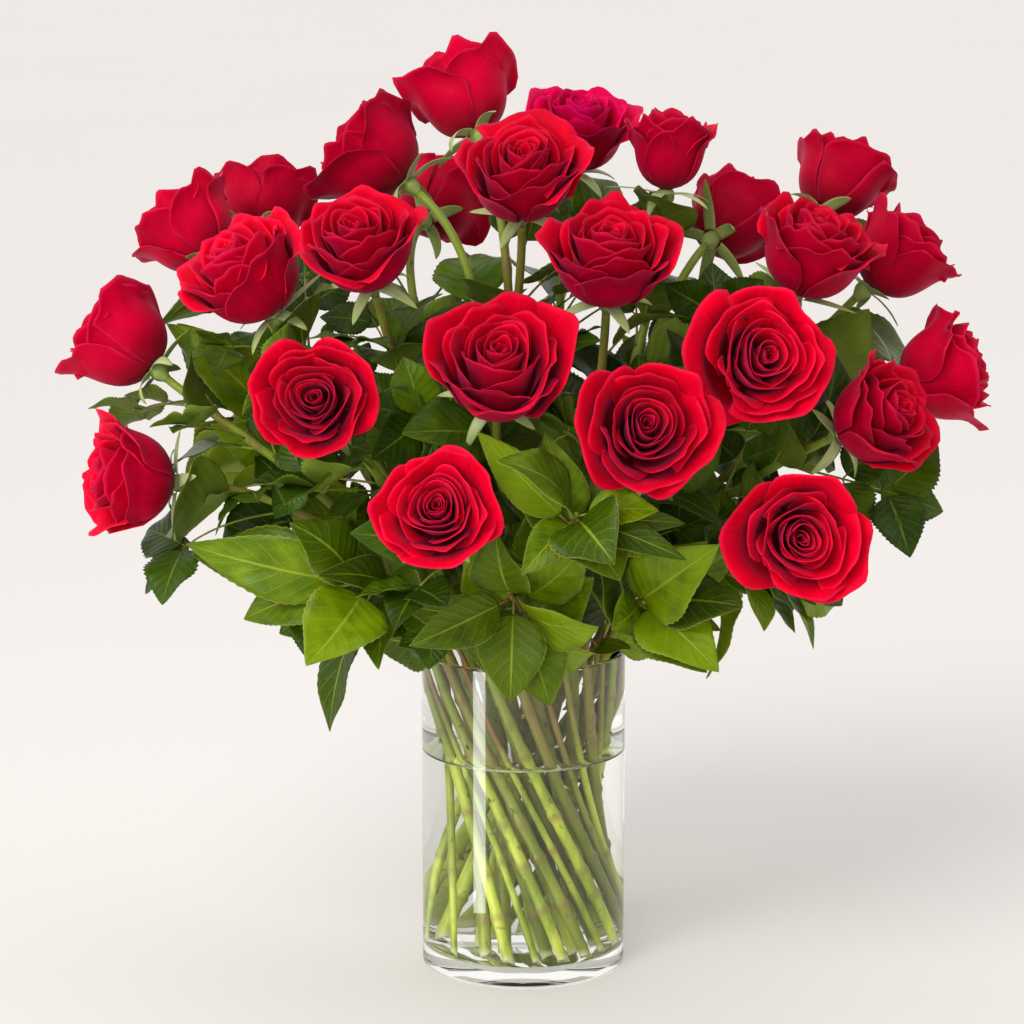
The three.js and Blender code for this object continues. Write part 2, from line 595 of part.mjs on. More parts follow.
const sprays = SPRAYS.map(({ exit, end: [x, y, z], leaves, extra }, i) => {
  const end = vec(x, y, z);
  const start = run("outer", exit);
  const arrival = end.clone().sub(start.rim).normalize().add(vec(0, 0, -SPRAY_NOD)).normalize();
  const path = route(start, end, arrival, SPRAY_STEM);
  const rest = [];
  for (let j = 0; j < extra; j++) rest.push(SPRAY_LEAF.from + ((1 - SPRAY_LEAF.from) * (j + 1)) / extra);
  const stem = makeStem(path, SPRAY_STEM, [...leaves.map(({ from }) => from), ...rest]);
  const wanted = leaves.map(({ tip, wide }) => ({ tip: vec(...tip), wide, loose: 0.6 }));
  rest.forEach((_, j) => {
    const long = SPRAY_LEAF.long * (0.85 + 0.3 * draw(i, j, DRAW.length));
    const wide = SPRAY_LEAF.wide * (0.85 + 0.3 * draw(i, j, DRAW.width));
    const node = stem.nodes[leaves.length + j];
    wanted.push({ tip: ruleTip(node, i + j, long, SPRAY_LEAF.lean), wide, loose: 0.9 });
  });
  return { name: `spray_${i + 1}`, stem, wanted, sepals: () => null, first: 100 * (i + 1) };
});

const blooms = roses.map(({ name, wide, seat, axis }, i) => {
  const solid = bloom(wide, i);
  const position = along(seat, axis, GAP);
  const turned = new THREE.Quaternion().setFromUnitVectors(vec(0, 0, 1), axis);
  const matrix = new THREE.Matrix4().compose(position, turned, vec(1, 1, 1));
  return { name: `${name}_bloom`, solid, position, turned, world: solid.transform(matrix.toArray()) };
});

const glassSolid = solidOf(glass());
place(glassSolid);
[...roses, ...sprays].forEach(({ stem, sepals }) => place(solidOf(tube(stem.rings, sepals))));
blooms.forEach(({ world }) => place(world));

// Each stem with the leaves that found room.
function leafyStem({ stem, wanted, sepals, first }) {
  const leaves = wanted.map((leaf, j) => growLeaf(stem, stem.nodes[j], first + j, leaf)).filter(Boolean);
  const leafAt = (span, k) => leaves.find((leaf) => leaf.span === span && leaf.k === k);
  return tube(stem.rings, (span, k, quad) => leafAt(span, k) ?? sepals(span, k, quad));
}

// ---------------------------------------------------------------- the scene graph
const finish = (color, roughness, opacity = 1) => (
  new THREE.MeshStandardMaterial({ color, roughness, metalness: 0, opacity, transparent: opacity < 1 })
);
const MATERIALS = {
  glass: finish(0xdfe6e4, 0.05, 0.3),
  water: finish(0xdfe8dc, 0.05, 0.4),
  petal: finish(0xb80d24, 0.55),
  rose: finish(0x4f7434, 0.5),
  spray: finish(0x3f6b1f, 0.4),
};

const bouquet = new THREE.Group();

function show(name, geometry, material) {
  geometry.computeVertexNormals();
  const mesh = new THREE.Mesh(geometry, material);
  mesh.name = name;
  bouquet.add(mesh);
  return mesh;
}

show("vase", geometryOfSolid(glassSolid), MATERIALS.glass);
show("water", geometryOfSolid(water([...roses, ...sprays].map(({ stem }) => stem))), MATERIALS.water);
blooms.forEach(({ name, solid, position, turned }) => {
  const mesh = show(name, geometryOfSolid(solid), MATERIALS.petal);
  mesh.position.copy(position);
  mesh.quaternion.copy(turned);
});
sprays.forEach((spray) => show(spray.name, leafyStem(spray), MATERIALS.spray));
roses.forEach((rose) => show(`${rose.name}_stem`, leafyStem(rose), MATERIALS.rose));

export default bouquet;
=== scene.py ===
"""Looks of a bouquet of twenty-five red roses and glossy greenery in a clear glass cylinder of water.

Shapes are worked out in millimetres, as in the CAD part, and become metres in add_piece. X is to the right,
Y away from the viewer and Z up; the origin is the middle of the underside of the glass.
"""
import math

import bpy
import numpy as np
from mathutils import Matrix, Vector
from mathutils.bvhtree import BVHTree
from mathutils.kdtree import KDTree


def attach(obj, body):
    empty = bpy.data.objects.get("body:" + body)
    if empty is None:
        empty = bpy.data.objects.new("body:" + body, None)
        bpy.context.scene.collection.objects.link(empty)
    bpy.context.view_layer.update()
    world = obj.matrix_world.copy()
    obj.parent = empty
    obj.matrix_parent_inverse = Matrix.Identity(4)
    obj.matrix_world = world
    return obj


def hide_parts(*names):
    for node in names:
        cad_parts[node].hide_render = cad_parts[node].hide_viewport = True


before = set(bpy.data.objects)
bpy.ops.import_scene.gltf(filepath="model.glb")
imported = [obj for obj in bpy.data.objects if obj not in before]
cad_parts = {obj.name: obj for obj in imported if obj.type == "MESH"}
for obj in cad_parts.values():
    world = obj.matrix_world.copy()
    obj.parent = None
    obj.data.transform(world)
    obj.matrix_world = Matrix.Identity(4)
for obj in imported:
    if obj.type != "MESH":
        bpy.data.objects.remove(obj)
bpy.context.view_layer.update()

# ------------------------ sizes, most of them the CAD part's too
MM = 0.001
GAP = 0.3
GLASS = dict(radius=63.5, height=203, wall=3, base=13, edge=3)
WATER_LEVEL = 138
RINGS = dict(outer=(34, 53.5), middle=(22, 38), inner=(10, 21))  # waist and reach of each ring of stems
ROSE_STEM = dict(foot=3.5, neck=2.6)
SPRAY_STEM = dict(foot=2.3, neck=1.3)
SPRAY_ROOT, ROSE_ROOT = 1.6, 2.6  # radius of each kind of stem where its leaves grow
SUNK = 0.7  # share of that radius at which a leaf starts
SPANS = 4  # straight spans of the CAD stem above the rim
LEAVE, ARRIVE = 0.38, 0.3
SPRAY_NOD = 0.35
HIP_LENGTH = 12
HEAD_BELOW = 0.4
SEPAL_LENGTH = 24
NODE_HALF, NODE_APART = 1.2, 4
SPRAY_LEAF = dict(long=68, wide=36, first=0.3, lean=0.7)
ROSE_LEAF = dict(long=82, first=0.3, last=0.86, leaflet=0.44, wide=0.27, second=285, lean=0.5)
GOLDEN_ANGLE = 137.5
HEART = np.array([0, 0, 290])
VIEWER = np.array([-7.1, -2400, 788])
VIEWER_SLOPE = 11.75  # degrees down
TO_VIEWER = np.array([0, -0.7, 0.25])  # turns the face of a filling leaf with a wanted tip
TRIES, STRAY_GROWS = 24, 12  # tries at a leaf; the CAD part has 30, so three of its leaves aren't found
SEED = 11.7
DRAW = dict(tip_x=12, tip_y=13, tip_z=14, face_x=15, face_y=16, face_z=17, arch=18, fold=19,
            length=21, width=22, place=31, pairs=32)

# Middle of the head, the way it faces (degrees from the viewer, + to the right; degrees up), diameter,
# ring, where the stem leaves the rim. Then how far the bloom has opened (1 is usual).
ROSES = [
    ((-251, 10, 397), -116, 33, 80, "outer", -164, 0.9),
    ((-244, -45, 318), -69, 7, 80, "outer", -147, 1.0),
    ((-212, 71, 459), -128, 38, 76, "middle", -178, 0.9),
    ((-167, 141, 464), 173, 37, 72, "outer", 160, 0.9),
    ((-171, -25, 445), -60, 54, 88, "middle", -152, 0.95),
    ((-98, -70, 468), -22, 57, 80, "middle", -122, 0.9),
    ((-122, -140, 384), -6, 16, 76, "outer", -114, 0.95),
    ((-97, 56, 507), -114, 36, 80, "inner", 170, 1.0),
    ((-54, 165, 462), 161, 19, 70, "middle", 128, 0.9),
    ((-38, 88, 540), -153, 49, 76, "inner", 120, 0.8),
    ((35, 75, 522), 24, 73, 76, "inner", 70, 1.0),
    ((-2, -25, 505), -2, 57, 82, "inner", -120, 0.95),
    ((50, -75, 462), 2, 60, 86, "middle", -45, 1.0),
    ((89, 25, 511), 131, 85, 62, "inner", 10, 0.7),
    ((132, 88, 461), 151, 20, 72, "middle", 55, 0.7),
    ((177, -15, 458), 49, 65, 84, "middle", 5, 0.85),
    ((202, 111, 484), 143, 41, 72, "outer", 59, 0.9),
    ((236, 49, 445), 102, 44, 76, "outer", 43, 0.9),
    ((140, -95, 402), 7, 17, 84, "middle", -20, 1.1),
    ((263, 16, 377), 87, 19, 78, "outer", 27, 0.95),
    ((215, -75, 363), 55, 26, 78, "outer", 11, 0.9),
    ((71, -165, 372), 6, 19, 82, "outer", -47, 1.1),
    ((-15, -140, 407), 2, 45, 92, "middle", -85, 1.15),
    ((-50, -185, 328), -3, 20, 76, "outer", -96, 1.0),
    ((163, -135, 302), 6, 9, 82, "outer", -18, 1.05),
]

# Blooms with an outer petal that stands away, and where the viewer sees it (degrees, 0 right, 90 up).
LOOSE = {3: 215, 8: 185, 10: 200, 12: 80, 19: 175, 20: -50, 22: 215, 25: 165}

MAGENTA = 11  # the bloom with magenta rims
BRIGHT = (1, 2, 3, 5, 10, 19, 20, 24, 25)  # blooms of a brighter red
TALL = {10: 1.1, 14: 1.22, 17: 1.06, 18: 1.06, 20: 1.08}  # slender blooms: height against the usual

# Where the stem leaves the rim, its end, its extra leaves, and its given leaves: how far along the
# stem each one starts, its tip and its width.
SPRAYS = [
    (-132, (-106, -105, 268), 0, [
        (0.8, (-161, -125, 216), 40), (0.94, (-166, -100, 234), 36), (1, (-200, -105, 286), 38),
        (0.9, (-213, -72, 262), 42), (0.86, (-190, -75, 304), 34), (0.62, (-88, -130, 240), 30),
        (0.72, (-120, -140, 285), 24)]),
    (-32, (72, -105, 256), 0, [
        (0.9, (112, -150, 296), 43), (0.75, (108, -120, 225), 40), (0.6, (120, -60, 243), 30),
        (0.45, (112, -45, 206), 16), (1, (66, -150, 300), 18), (0.8, (140, -90, 266), 32)]),
    (-80, (-8, -115, 262), 0, [
        (0.75, (-47, -150, 239), 34), (0.95, (-66, -145, 272), 30), (1, (-8, -122, 199), 40),
        (0.8, (16, -105, 192), 39), (0.6, (-30, -100, 225), 26), (0.9, (34, -150, 268), 34)]),
    (-64, (30, -165, 322), 0, [
        (0.85, (8, -178, 378), 27), (0.95, (18, -205, 306), 24), (1, (66, -190, 334), 24),
        (0.9, (88, -178, 314), 17), (0.7, (-8, -150, 342), 30), (0.75, (58, -125, 340), 34)]),
    (-4, (165, -45, 268), 2, [
        (0.85, (199, -55, 234), 32), (1, (240, -30, 303), 36), (0.7, (150, -90, 250), 32)]),
    (178, (-165, 45, 340), 3, [
        (0.95, (-250, 0, 352), 40), (1, (-218, 60, 398), 38), (0.8, (-205, -5, 325), 32)]),
    (120, (-70, 150, 330), 6, []),
    (84, (105, 140, 330), 6, []),
]

# Leaves that only the looks have, wanted where the photo shows them: the spray, how far along it the leaf
# starts, its tip, its width and, unless STALK_SHARE, the share of it that is bare stalk.
STALK_SHARE = 0.13
FRONT_LEAVES = [
    (1, 0.96, (-211, -70, 269), 52, 0.35),
    (1, 0.84, (-161, -120, 218), 42, 0.2),
    (1, 0.9, (-178, -104, 236), 38, 0.25),
    (6, 1.0, (-200, -30, 388), 38),
    (6, 0.95, (-255, 20, 356), 44, 0.25),
    (6, 0.9, (-219, 30, 401), 38),
    (5, 0.55, (205, -90, 246), 42, 0.2),
    (5, 0.95, (245, -50, 306), 36, 0.2),
    (4, 0.95, (86, -190, 309), 20),
    (4, 0.8, (12, -150, 371), 28),
    (3, 0.9, (-55, -120, 236), 32),
    (2, 0.9, (112, -140, 222), 42),
    (2, 0.85, (118, -130, 296), 40),
    (3, 0.8, (22, -110, 193), 38),
    (3, 0.85, (-6, -118, 197), 38),
]


# ------------------------ small helpers
def draw(a, b, key):
    """A draw from 0 to 1 that depends only on its three keys, the same as in the CAD part."""
    wave = math.sin(a * 12.9898 + b * 78.233 + key * 37.719 + SEED) * 43758.5453
    return wave - math.floor(wave)


def draws(a, b, *keys):
    return np.array([draw(a, b, key) for key in keys])


def unit(v):
    v = np.asarray(v, float)
    return v / np.linalg.norm(v, axis=-1, keepdims=True)


def across(axis):
    """Two directions square to an axis, the first as level as it can be."""
    guide = np.array([0, 1, 0]) if abs(axis[2]) > 0.94 else np.array([0, 0, 1])
    level = unit(np.cross(guide, axis))
    return level, np.cross(axis, level)


def facing(turn, up):
    a, e = math.radians(turn), math.radians(up)
    return np.array([math.sin(a) * math.cos(e), -math.cos(a) * math.cos(e), math.sin(e)])


def outward(point):
    """Away from the bouquet's heart, and a little upward."""
    return unit(unit(point - HEART) + [0, 0, 0.5])


def smooth(x, low=0.0, high=1.0):
    x = np.clip((x - low) / (high - low), 0, 1)
    return x * x * (3 - 2 * x)


def numbered(i):
    return f"{i + 1:02d}"


# ------------------------ meshes
LEAF, STALK, CALYX, PETAL = 0, 1, 2, 0  # places of the materials on a piece
THIN_EDGE = 0.35  # of a blade's thickness


class Shape:
    """Vertices, quads or triangles, a finish for each face and four numbers for each vertex."""

    def __init__(self):
        self.points, self.faces, self.finishes, self.marks, self.count = [], [], [], [], 0

    def add(self, points, faces, finish, marks):
        points = np.asarray(points, float).reshape(-1, 3)
        marks = np.broadcast_to(np.asarray(marks, float), (len(points), 4))
        self.points.append(points)
        self.marks.append(marks)
        self.faces.extend((np.asarray(face) + self.count).tolist() for face in faces)
        self.finishes.extend([finish] * len(faces))
        self.count += len(points)

    def take(self, other):
        """Adds all that another shape holds."""
        self.points.extend(other.points)
        self.marks.extend(other.marks)
        self.faces.extend((np.asarray(face) + self.count).tolist() for face in other.faces)
        self.finishes.extend(other.finishes)
        self.count += other.count


def linked(name, data):
    """A new object in the scene."""
    made = bpy.data.objects.new(name, data)
    bpy.context.collection.objects.link(made)
    return made


def add_piece(name, shape, materials, node):
    """A Blender object of a shape, which stands for a CAD node and rides on the one body."""
    points, marks = np.concatenate(shape.points), np.concatenate(shape.marks)
    mesh = bpy.data.meshes.new(name)
    mesh.from_pydata((points * MM).tolist(), [], shape.faces)
    for material in materials:
        mesh.materials.append(material)
    mesh.polygons.foreach_set("material_index", shape.finishes)
    mesh.polygons.foreach_set("use_smooth", [True] * len(mesh.polygons))
    layer = mesh.attributes.new("marks", "FLOAT_COLOR", "POINT")
    layer.data.foreach_set("color", marks.ravel())
    mesh.update()
    piece = linked(name, mesh)
    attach(piece, "root")
    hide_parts(node)
    return piece


def sheet_marks(u, v, own):
    """The marks of a blade's front: across from 0 to 1, along from 0 to 1, 0 and its own number."""
    return np.stack([0.5 + u / 2 + 0 * v, v + 0 * u, 0 * u * v, 0 * u * v + own], -1)


def sheet_faces(rows, columns):
    """Quads of a closed blade: a front grid, a back grid after it, and the strip between their borders."""
    grid = np.arange(rows * columns).reshape(rows, columns)
    a, b, c, d = grid[:-1, :-1], grid[:-1, 1:], grid[1:, 1:], grid[1:, :-1]
    front = np.stack([a, b, c, d], -1).reshape(-1, 4)
    back = front[:, ::-1] + rows * columns
    border = np.concatenate([grid[0], grid[1:, -1], grid[-1, -2::-1], grid[-2:0:-1, 0]])
    after = np.roll(border, -1)
    rim = np.stack([after, border, border + rows * columns, after + rows * columns], -1)
    return np.concatenate([front, back, rim])


def add_sheets(shape, grids, thickness, finish, marks):
    """Closed blades from grids of points (blade, row, column, xyz), thinner at their borders."""
    blades, rows, columns, _ = grids.shape
    along_rows, along_columns = np.gradient(grids, axis=1), np.gradient(grids, axis=2)
    normal = np.cross(along_columns, along_rows)
    normal /= np.maximum(np.linalg.norm(normal, axis=-1, keepdims=True), 1e-9)
    depth = np.full((rows, columns), 1.0)
    depth[-1, :], depth[:, 0], depth[:, -1] = THIN_EDGE, THIN_EDGE, THIN_EDGE
    offset = normal * (depth * thickness / 2)[None, :, :, None]
    points = np.stack([grids + offset, grids - offset], 1).reshape(blades, -1, 3)
    side = np.broadcast_to(np.array([1.0, 0.0])[None, :, None, None], (blades, 2, rows, columns))
    marks = np.broadcast_to(marks[:, None], (blades, 2, rows, columns, 4)).copy()
    marks[..., 2] = side
    faces = sheet_faces(rows, columns)
    size = 2 * rows * columns
    every = (faces[None] + (np.arange(blades) * size)[:, None, None]).reshape(-1, 4)
    shape.add(points, every, finish, marks.reshape(-1, 4))


def ring_faces(count, sides, first=0):
    """Quads between rings of points that follow each other from the first point."""
    k = first + np.arange(sides)
    after = first + (np.arange(sides) + 1) % sides
    return [face for i in range(count - 1) for face in np.stack(
        [i * sides + k, i * sides + after, (i + 1) * sides + after, (i + 1) * sides + k], -1)]


def lathe(profile, sides):
    """Points and faces of a solid turned about Z. The profile starts and ends on the axis."""
    inner = np.asarray(profile[1:-1], float)
    a = 2 * np.pi * np.arange(sides) / sides
    radii, heights = inner[:, :1], np.repeat(inner[:, 1:], sides, 1)
    rings = np.stack([radii * np.cos(a), radii * np.sin(a), heights], -1)
    points = np.concatenate([[[0, 0, profile[0][1]]], rings.reshape(-1, 3), [[0, 0, profile[-1][1]]]])
    k = np.arange(sides)
    after = (k + 1) % sides
    faces = ring_faces(len(inner), sides, 1)
    last = 1 + (len(inner) - 1) * sides
    faces += list(np.stack([0 * k, 1 + after, 1 + k], -1))
    faces += list(np.stack([0 * k + len(points) - 1, last + k, last + after], -1))
    return points, faces


def tube(path, radii, sides, cut=None):
    """Points and faces of a closed tube along a path. cut levels the first ring, then slants it."""
    axes = unit(np.gradient(path, axis=0))
    level = across(axes[0])[0]
    rings = []
    a = 2 * np.pi * np.arange(sides) / sides
    for i, (point, axis) in enumerate(zip(path, axes)):
        level = unit(level - axis * level.dot(axis))
        ring = point + radii[i] * (np.outer(np.cos(a), level) + np.outer(np.sin(a), np.cross(axis, level)))
        if i == 0 and cut is not None:
            ring += np.outer((point[2] - ring[:, 2]) / axis[2] + cut * (1 + np.cos(a)) / 2, axis)
        rings.append(ring)
    k = np.arange(sides)
    last = (len(path) - 1) * sides
    return np.concatenate(rings), ring_faces(len(path), sides) + [k[::-1], last + k]


# ------------------------ stems
class Stem:
    """The way of a stem: straight in the glass, then an easy bend to its end, as in the CAD part."""

    def __init__(self, ring, leaving, end, arrival=None):
        waist, reach = RINGS[ring]
        out = math.radians(leaving)
        back = out + 2 * math.acos(waist / reach)
        self.foot = np.array([reach * math.cos(back), reach * math.sin(back), GLASS["base"] + GAP])
        self.rim = np.array([reach * math.cos(out), reach * math.sin(out), GLASS["height"]])
        self.end = np.array(end, float)
        if arrival is None:
            arrival = unit(unit(self.end - self.rim) + [0, 0, -SPRAY_NOD])
        far = np.linalg.norm(self.end - self.rim)
        start = unit(self.rim - self.foot)
        self.control = np.array(
            [self.rim, self.rim + start * far * LEAVE, self.end - arrival * far * ARRIVE, self.end])
        self.corners = np.array([self.foot, *(self.bend(i / SPANS) for i in range(SPANS + 1))])
        steps = np.linalg.norm(np.diff(self.corners, axis=0), axis=1)
        self.lengths = np.concatenate([[0], np.cumsum(steps)])
        self.above = self.lengths[-1] - self.lengths[1]

    def bend(self, t):
        """A point of the bend, t from 0 at the rim to 1 at the end."""
        t = np.asarray(t, float)[..., None]
        a, b, c, d = self.control
        return a * (1 - t) ** 3 + 3 * b * t * (1 - t) ** 2 + 3 * c * t * t * (1 - t) + d * t ** 3

    def straight(self, length):
        """The point at a length along the CAD stem's straight spans."""
        return np.array([np.interp(length, self.lengths, self.corners[:, i]) for i in range(3)])

    def curved(self, length):
        """The point of the smooth stem that answers to a length along the CAD stem."""
        if length <= self.lengths[1]:
            return self.straight(length)
        return self.bend(np.interp(length, self.lengths[1:], np.arange(SPANS + 1) / SPANS))

    def nodes(self, shares):
        """The leaves' places: lengths along the stem, clear of its corners and of each other."""
        taken, places = list(self.lengths), []
        for share in shares:
            free = self.lengths[1] + share * self.above
            free = min(free, self.lengths[-1] - NODE_APART)
            while any(abs(other - free) < NODE_APART for other in taken):
                free -= 1
            taken.append(free)
            places.append(free)
        return places


STEM_SIDES = 10
KNOT_HALF = 2.6  # half width of a swelling along the stem
THORNS, SEPALS = 9, 5


def add_stem(shape, stem, foot, neck, key, knots):
    """The stem's tube, with a slanting cut at its foot and a swelling where leaves grow or grew."""
    lengths = np.concatenate([np.linspace(0, stem.lengths[1], 90)[:-1],
                              np.linspace(stem.lengths[1], stem.lengths[-1], 44)])
    path = np.array([stem.curved(length) for length in lengths])
    share = lengths / stem.lengths[-1]
    radii = foot + (neck - foot) * share
    swellings = [np.exp(-((lengths - knot) / KNOT_HALF) ** 2) for knot in knots]
    for swelling in swellings:
        radii = radii + 0.30 * radii * swelling
    points, faces = tube(path, radii, STEM_SIDES, cut=5)
    marks = np.zeros((len(points), 4))
    marks[:, 0] = np.tile(np.arange(STEM_SIDES) / STEM_SIDES, len(lengths))
    marks[:, 1] = np.repeat(share, STEM_SIDES)
    marks[:, 2] = np.repeat(sum(swellings), STEM_SIDES)
    marks[:, 3] = draw(key, 0, 90)
    shape.add(points, faces, STALK, marks)


def add_thorns(shape, stem, foot, neck, key):
    """Small hooked thorns, scattered along a rose's stem."""
    whole = stem.lengths[-1]
    for j in range(THORNS):
        length = (0.1 + 0.84 * (j + draw(key, j, 91)) / THORNS) * whole
        point, ahead = stem.curved(length), stem.curved(length + 2)
        axis = unit(ahead - point)
        level, upright = across(axis)
        a = 2 * math.pi * draw(key, j, 92)
        out = level * math.cos(a) + upright * math.sin(a)
        side = np.cross(axis, out)
        radius = foot + (neck - foot) * length / whole
        size = 1.6 + 1.6 * draw(key, j, 93)
        root = point + out * (radius - 0.3)
        ring = [root + axis * math.cos(b) * size * 0.9 + side * math.sin(b) * size * 0.42
                for b in np.arange(6) * math.pi / 3]
        tip = root + out * (size + 0.5) - axis * size * 0.7
        faces = [[k, (k + 1) % 6, 6] for k in range(6)] + [[5, 4, 3, 2, 1, 0]]
        shape.add([*ring, tip], faces, STALK, (0.5, length / whole, 1, draw(key, j, 94)))


# ------------------------ leaves
LEAF_ROWS, LEAF_COLUMNS = 33, 9
BROADER = 1.25  # leaflets against those of the CAD part


def leaf_grid(frame_of_leaf, wide, start, end, outline, curl, teeth, key):
    """Points of one blade between two shares of the leaf's length, and its marks."""
    root, forward, up, side, long = frame_of_leaf
    v = np.linspace(0, 1, LEAF_ROWS)[:, None]
    u = np.linspace(-1, 1, LEAF_COLUMNS)[None, :]
    u = np.sign(u) * np.abs(u) ** 0.85
    edge = np.abs(u) ** 8
    saw = (np.arange(LEAF_ROWS) % 2)[:, None] * teeth * np.sin(np.pi * v) ** 0.5
    half = wide / 2 * outline(v) * (1 - saw * edge)
    w = u * half
    s = start + (end - start) * v
    wave = np.sin(v * 11 + 5 * draw(key, 1, 95) + 1.8 * np.sign(u))
    wave = 0.05 * wide * wave * np.abs(u) ** 2 * np.sin(np.pi * v)
    lift = curl["arch"] * long * 4 * s * (1 - s) + np.abs(w) * curl["fold"] + wave
    lift = lift - curl["droop"] * long * v ** 2
    twist = curl["twist"] * v * w
    swing = curl["swing"] * long * v ** 2
    points = (root + (s * long)[..., None] * forward + (w + swing)[..., None] * side
              + (lift + twist)[..., None] * up)
    return points, sheet_marks(u, v, draw(key, 2, 96))


def ovate(v):
    """Half width of a broad pointed leaf along its length, from 0 to 1."""
    return np.clip(1.62 * np.sin(np.pi * v ** 0.78) ** 0.8 * (1 - 0.34 * v ** 1.6), 0.012, None) / 1.40


def add_petiole(shape, points, radius, key):
    path = np.asarray(points)
    ring, faces = tube(path, np.linspace(radius, radius * 0.7, len(path)), 6)
    marks = np.zeros((len(ring), 4))
    marks[:, 1] = 1
    marks[:, 3] = draw(key, 3, 97)
    shape.add(ring, faces, STALK, marks)


def leaf_frame(root, tip, hint):
    """A leaf's frame: from its root towards its tip, its face turned to a hint."""
    forward = tip - root
    long = np.linalg.norm(forward)
    forward = forward / long
    up = unit(hint - forward * hint.dot(forward))
    return root, forward, up, np.cross(up, forward), long


def add_simple_leaf(shape, root, tip, hint, wide, curl, key, stalk):
    """One broad leaf of a spray on its short stalk."""
    made = leaf_frame(root, tip, hint)
    _, forward, up, _, long = made
    grid, marks = leaf_grid(made, wide, stalk, 1.0, ovate, curl, 0.045, key)
    add_sheets(shape, grid[None], 0.5, LEAF, marks[None])
    s = np.linspace(0, stalk + 0.17, 6)
    lift = curl["arch"] * long * 4 * s * (1 - s) - 0.5 - 1.2 * s
    add_petiole(shape, root + np.outer(s * long, forward) + np.outer(lift, up), 0.9, key)
    return grid.reshape(-1, 3)


def add_compound_leaf(shape, root, tip, hint, pairs, curl, key):
    """A rose's leaf: pairs of toothed leaflets and one at the end, on a thin rib."""
    made = leaf_frame(root, tip, hint)
    _, forward, up, side, long = made
    place = lambda s, w=0.0: (root + forward * s * long + side * w
                              + up * (curl["arch"] * long * 4 * s * (1 - s) + abs(w) * curl["fold"]))
    reach, wide = ROSE_LEAF["leaflet"] * long, ROSE_LEAF["wide"] * long * BROADER
    leaflets = [(place(1 - ROSE_LEAF["leaflet"]), place(1) - up, wide)]
    for pair in range(pairs):
        s = 0.62 - 0.27 * (pairs - 1 - pair) + 1.3 / long
        size = 1 - 0.15 * (pairs - 1 - pair)
        for k in (-1, 1):
            far = place(s + reach * size * 0.5 / long, k * (0.8 + reach * size * 0.8)) - 2 * up
            leaflets.append((place(s, k * 0.6), far, wide * size))
    found = []
    for n, (low, high, across_it) in enumerate(leaflets):
        own = leaf_frame(low, high, up + 0.25 * (np.array([draw(key, n, 61), draw(key, n, 62), 0]) - 0.5))
        bent = dict(curl, arch=0.05, droop=0.03, swing=0)
        grid, marks = leaf_grid(own, across_it, 0.07, 1.0, ovate, bent, 0.09, key * 7 + n)
        add_sheets(shape, grid[None], 0.5, LEAF, marks[None])
        stalk = low + np.outer(np.linspace(0, 0.2, 3), high - low) - 0.4 * own[2]
        add_petiole(shape, stalk, 0.6, key)
        found.append(grid.reshape(-1, 3))
    rib = np.array([place(s) - 0.3 * up for s in np.linspace(0, 1 - ROSE_LEAF["leaflet"] * 0.85, 9)])
    add_petiole(shape, rib, 0.85, key)
    return np.concatenate(found)


def add_leaf(shape, root, tip, hint, wide, pairs, curl, key, stalk=STALK_SHARE):
    """A rose's leaf with so many pairs of leaflets, or a simple leaf without pairs. Gives its points."""
    if pairs:
        return add_compound_leaf(shape, root, tip, hint, pairs, curl, key)
    return add_simple_leaf(shape, root, tip, hint, wide, curl, key, stalk)


def free_curl(key, k):
    """The curl of a leaf that only the looks have."""
    return dict(arch=0.04 + 0.12 * draw(key, k, 64), fold=0.05 + 0.35 * draw(key, k, 66),
                droop=0.22 * draw(key, k, 67), twist=0.9 * (draw(key, k, 68) - 0.5),
                swing=0.2 * (draw(key, k, 69) - 0.5))


def rule_tip(point, direction, turn, long, lean):
    """The tip of a leaf by rule: out all round the stem in turn, by the golden angle, leaning along it."""
    level, upright = across(direction)
    angle = math.radians(GOLDEN_ANGLE) * turn
    out = level * math.cos(angle) + upright * math.sin(angle)
    way = out + direction * lean + outward(point) * 0.5 + [0, 0, -0.35]
    return point + unit(way) * long


def cad_tip(stem, place, turn, long, lean):
    """The tip of a leaf by rule, as in the CAD part."""
    direction = unit(stem.straight(place + NODE_HALF) - stem.straight(place - NODE_HALF))
    return rule_tip(stem.straight(place), direction, turn, long, lean)


def curl_of(key, k):
    return dict(arch=0.06 + 0.08 * draw(key, k, DRAW["arch"]), fold=0.12 + 0.2 * draw(key, k, DRAW["fold"]),
                droop=0.0, twist=0.3 * (draw(key, k, 63) - 0.5), swing=0.0)


def tries_of(stem, length, wanted, loose, key):
    """The CAD part's tries at a leaf, one after another: tip, turn of the face and curl."""
    point = stem.straight(length)
    long = np.linalg.norm(wanted - point)
    for k in range(TRIES):
        grow = loose * min(1, k / STRAY_GROWS) * 2
        stray = lambda *names: np.array([(draw(key, k, DRAW[name]) - 0.5) * grow for name in names])
        direction = unit(wanted - point + stray("tip_x", "tip_y", "tip_z") * long)
        yield point + direction * long, stray("face_x", "face_y", "face_z"), curl_of(key, k)


def grown_leaf(tree, tries, near):
    """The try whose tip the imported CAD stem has."""
    for tip, turn, curl in tries:
        if abs(tree.find(Vector(tip * MM))[2] / MM - near) < 0.12:
            return tip, turn, curl
    return None


def tree_of(node):
    """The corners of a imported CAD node, to look up places in."""
    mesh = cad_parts[node].data
    tree = KDTree(len(mesh.vertices))
    for i, vertex in enumerate(mesh.vertices):
        tree.insert(vertex.co, i)
    tree.balance()
    return tree


# ------------------------ blooms
PETAL_ROWS, PETAL_COLUMNS = 16, 21
PETALS = 27
KNOTS = np.array([0, 0, 0, 0, 0.5, 1, 1, 1, 1])


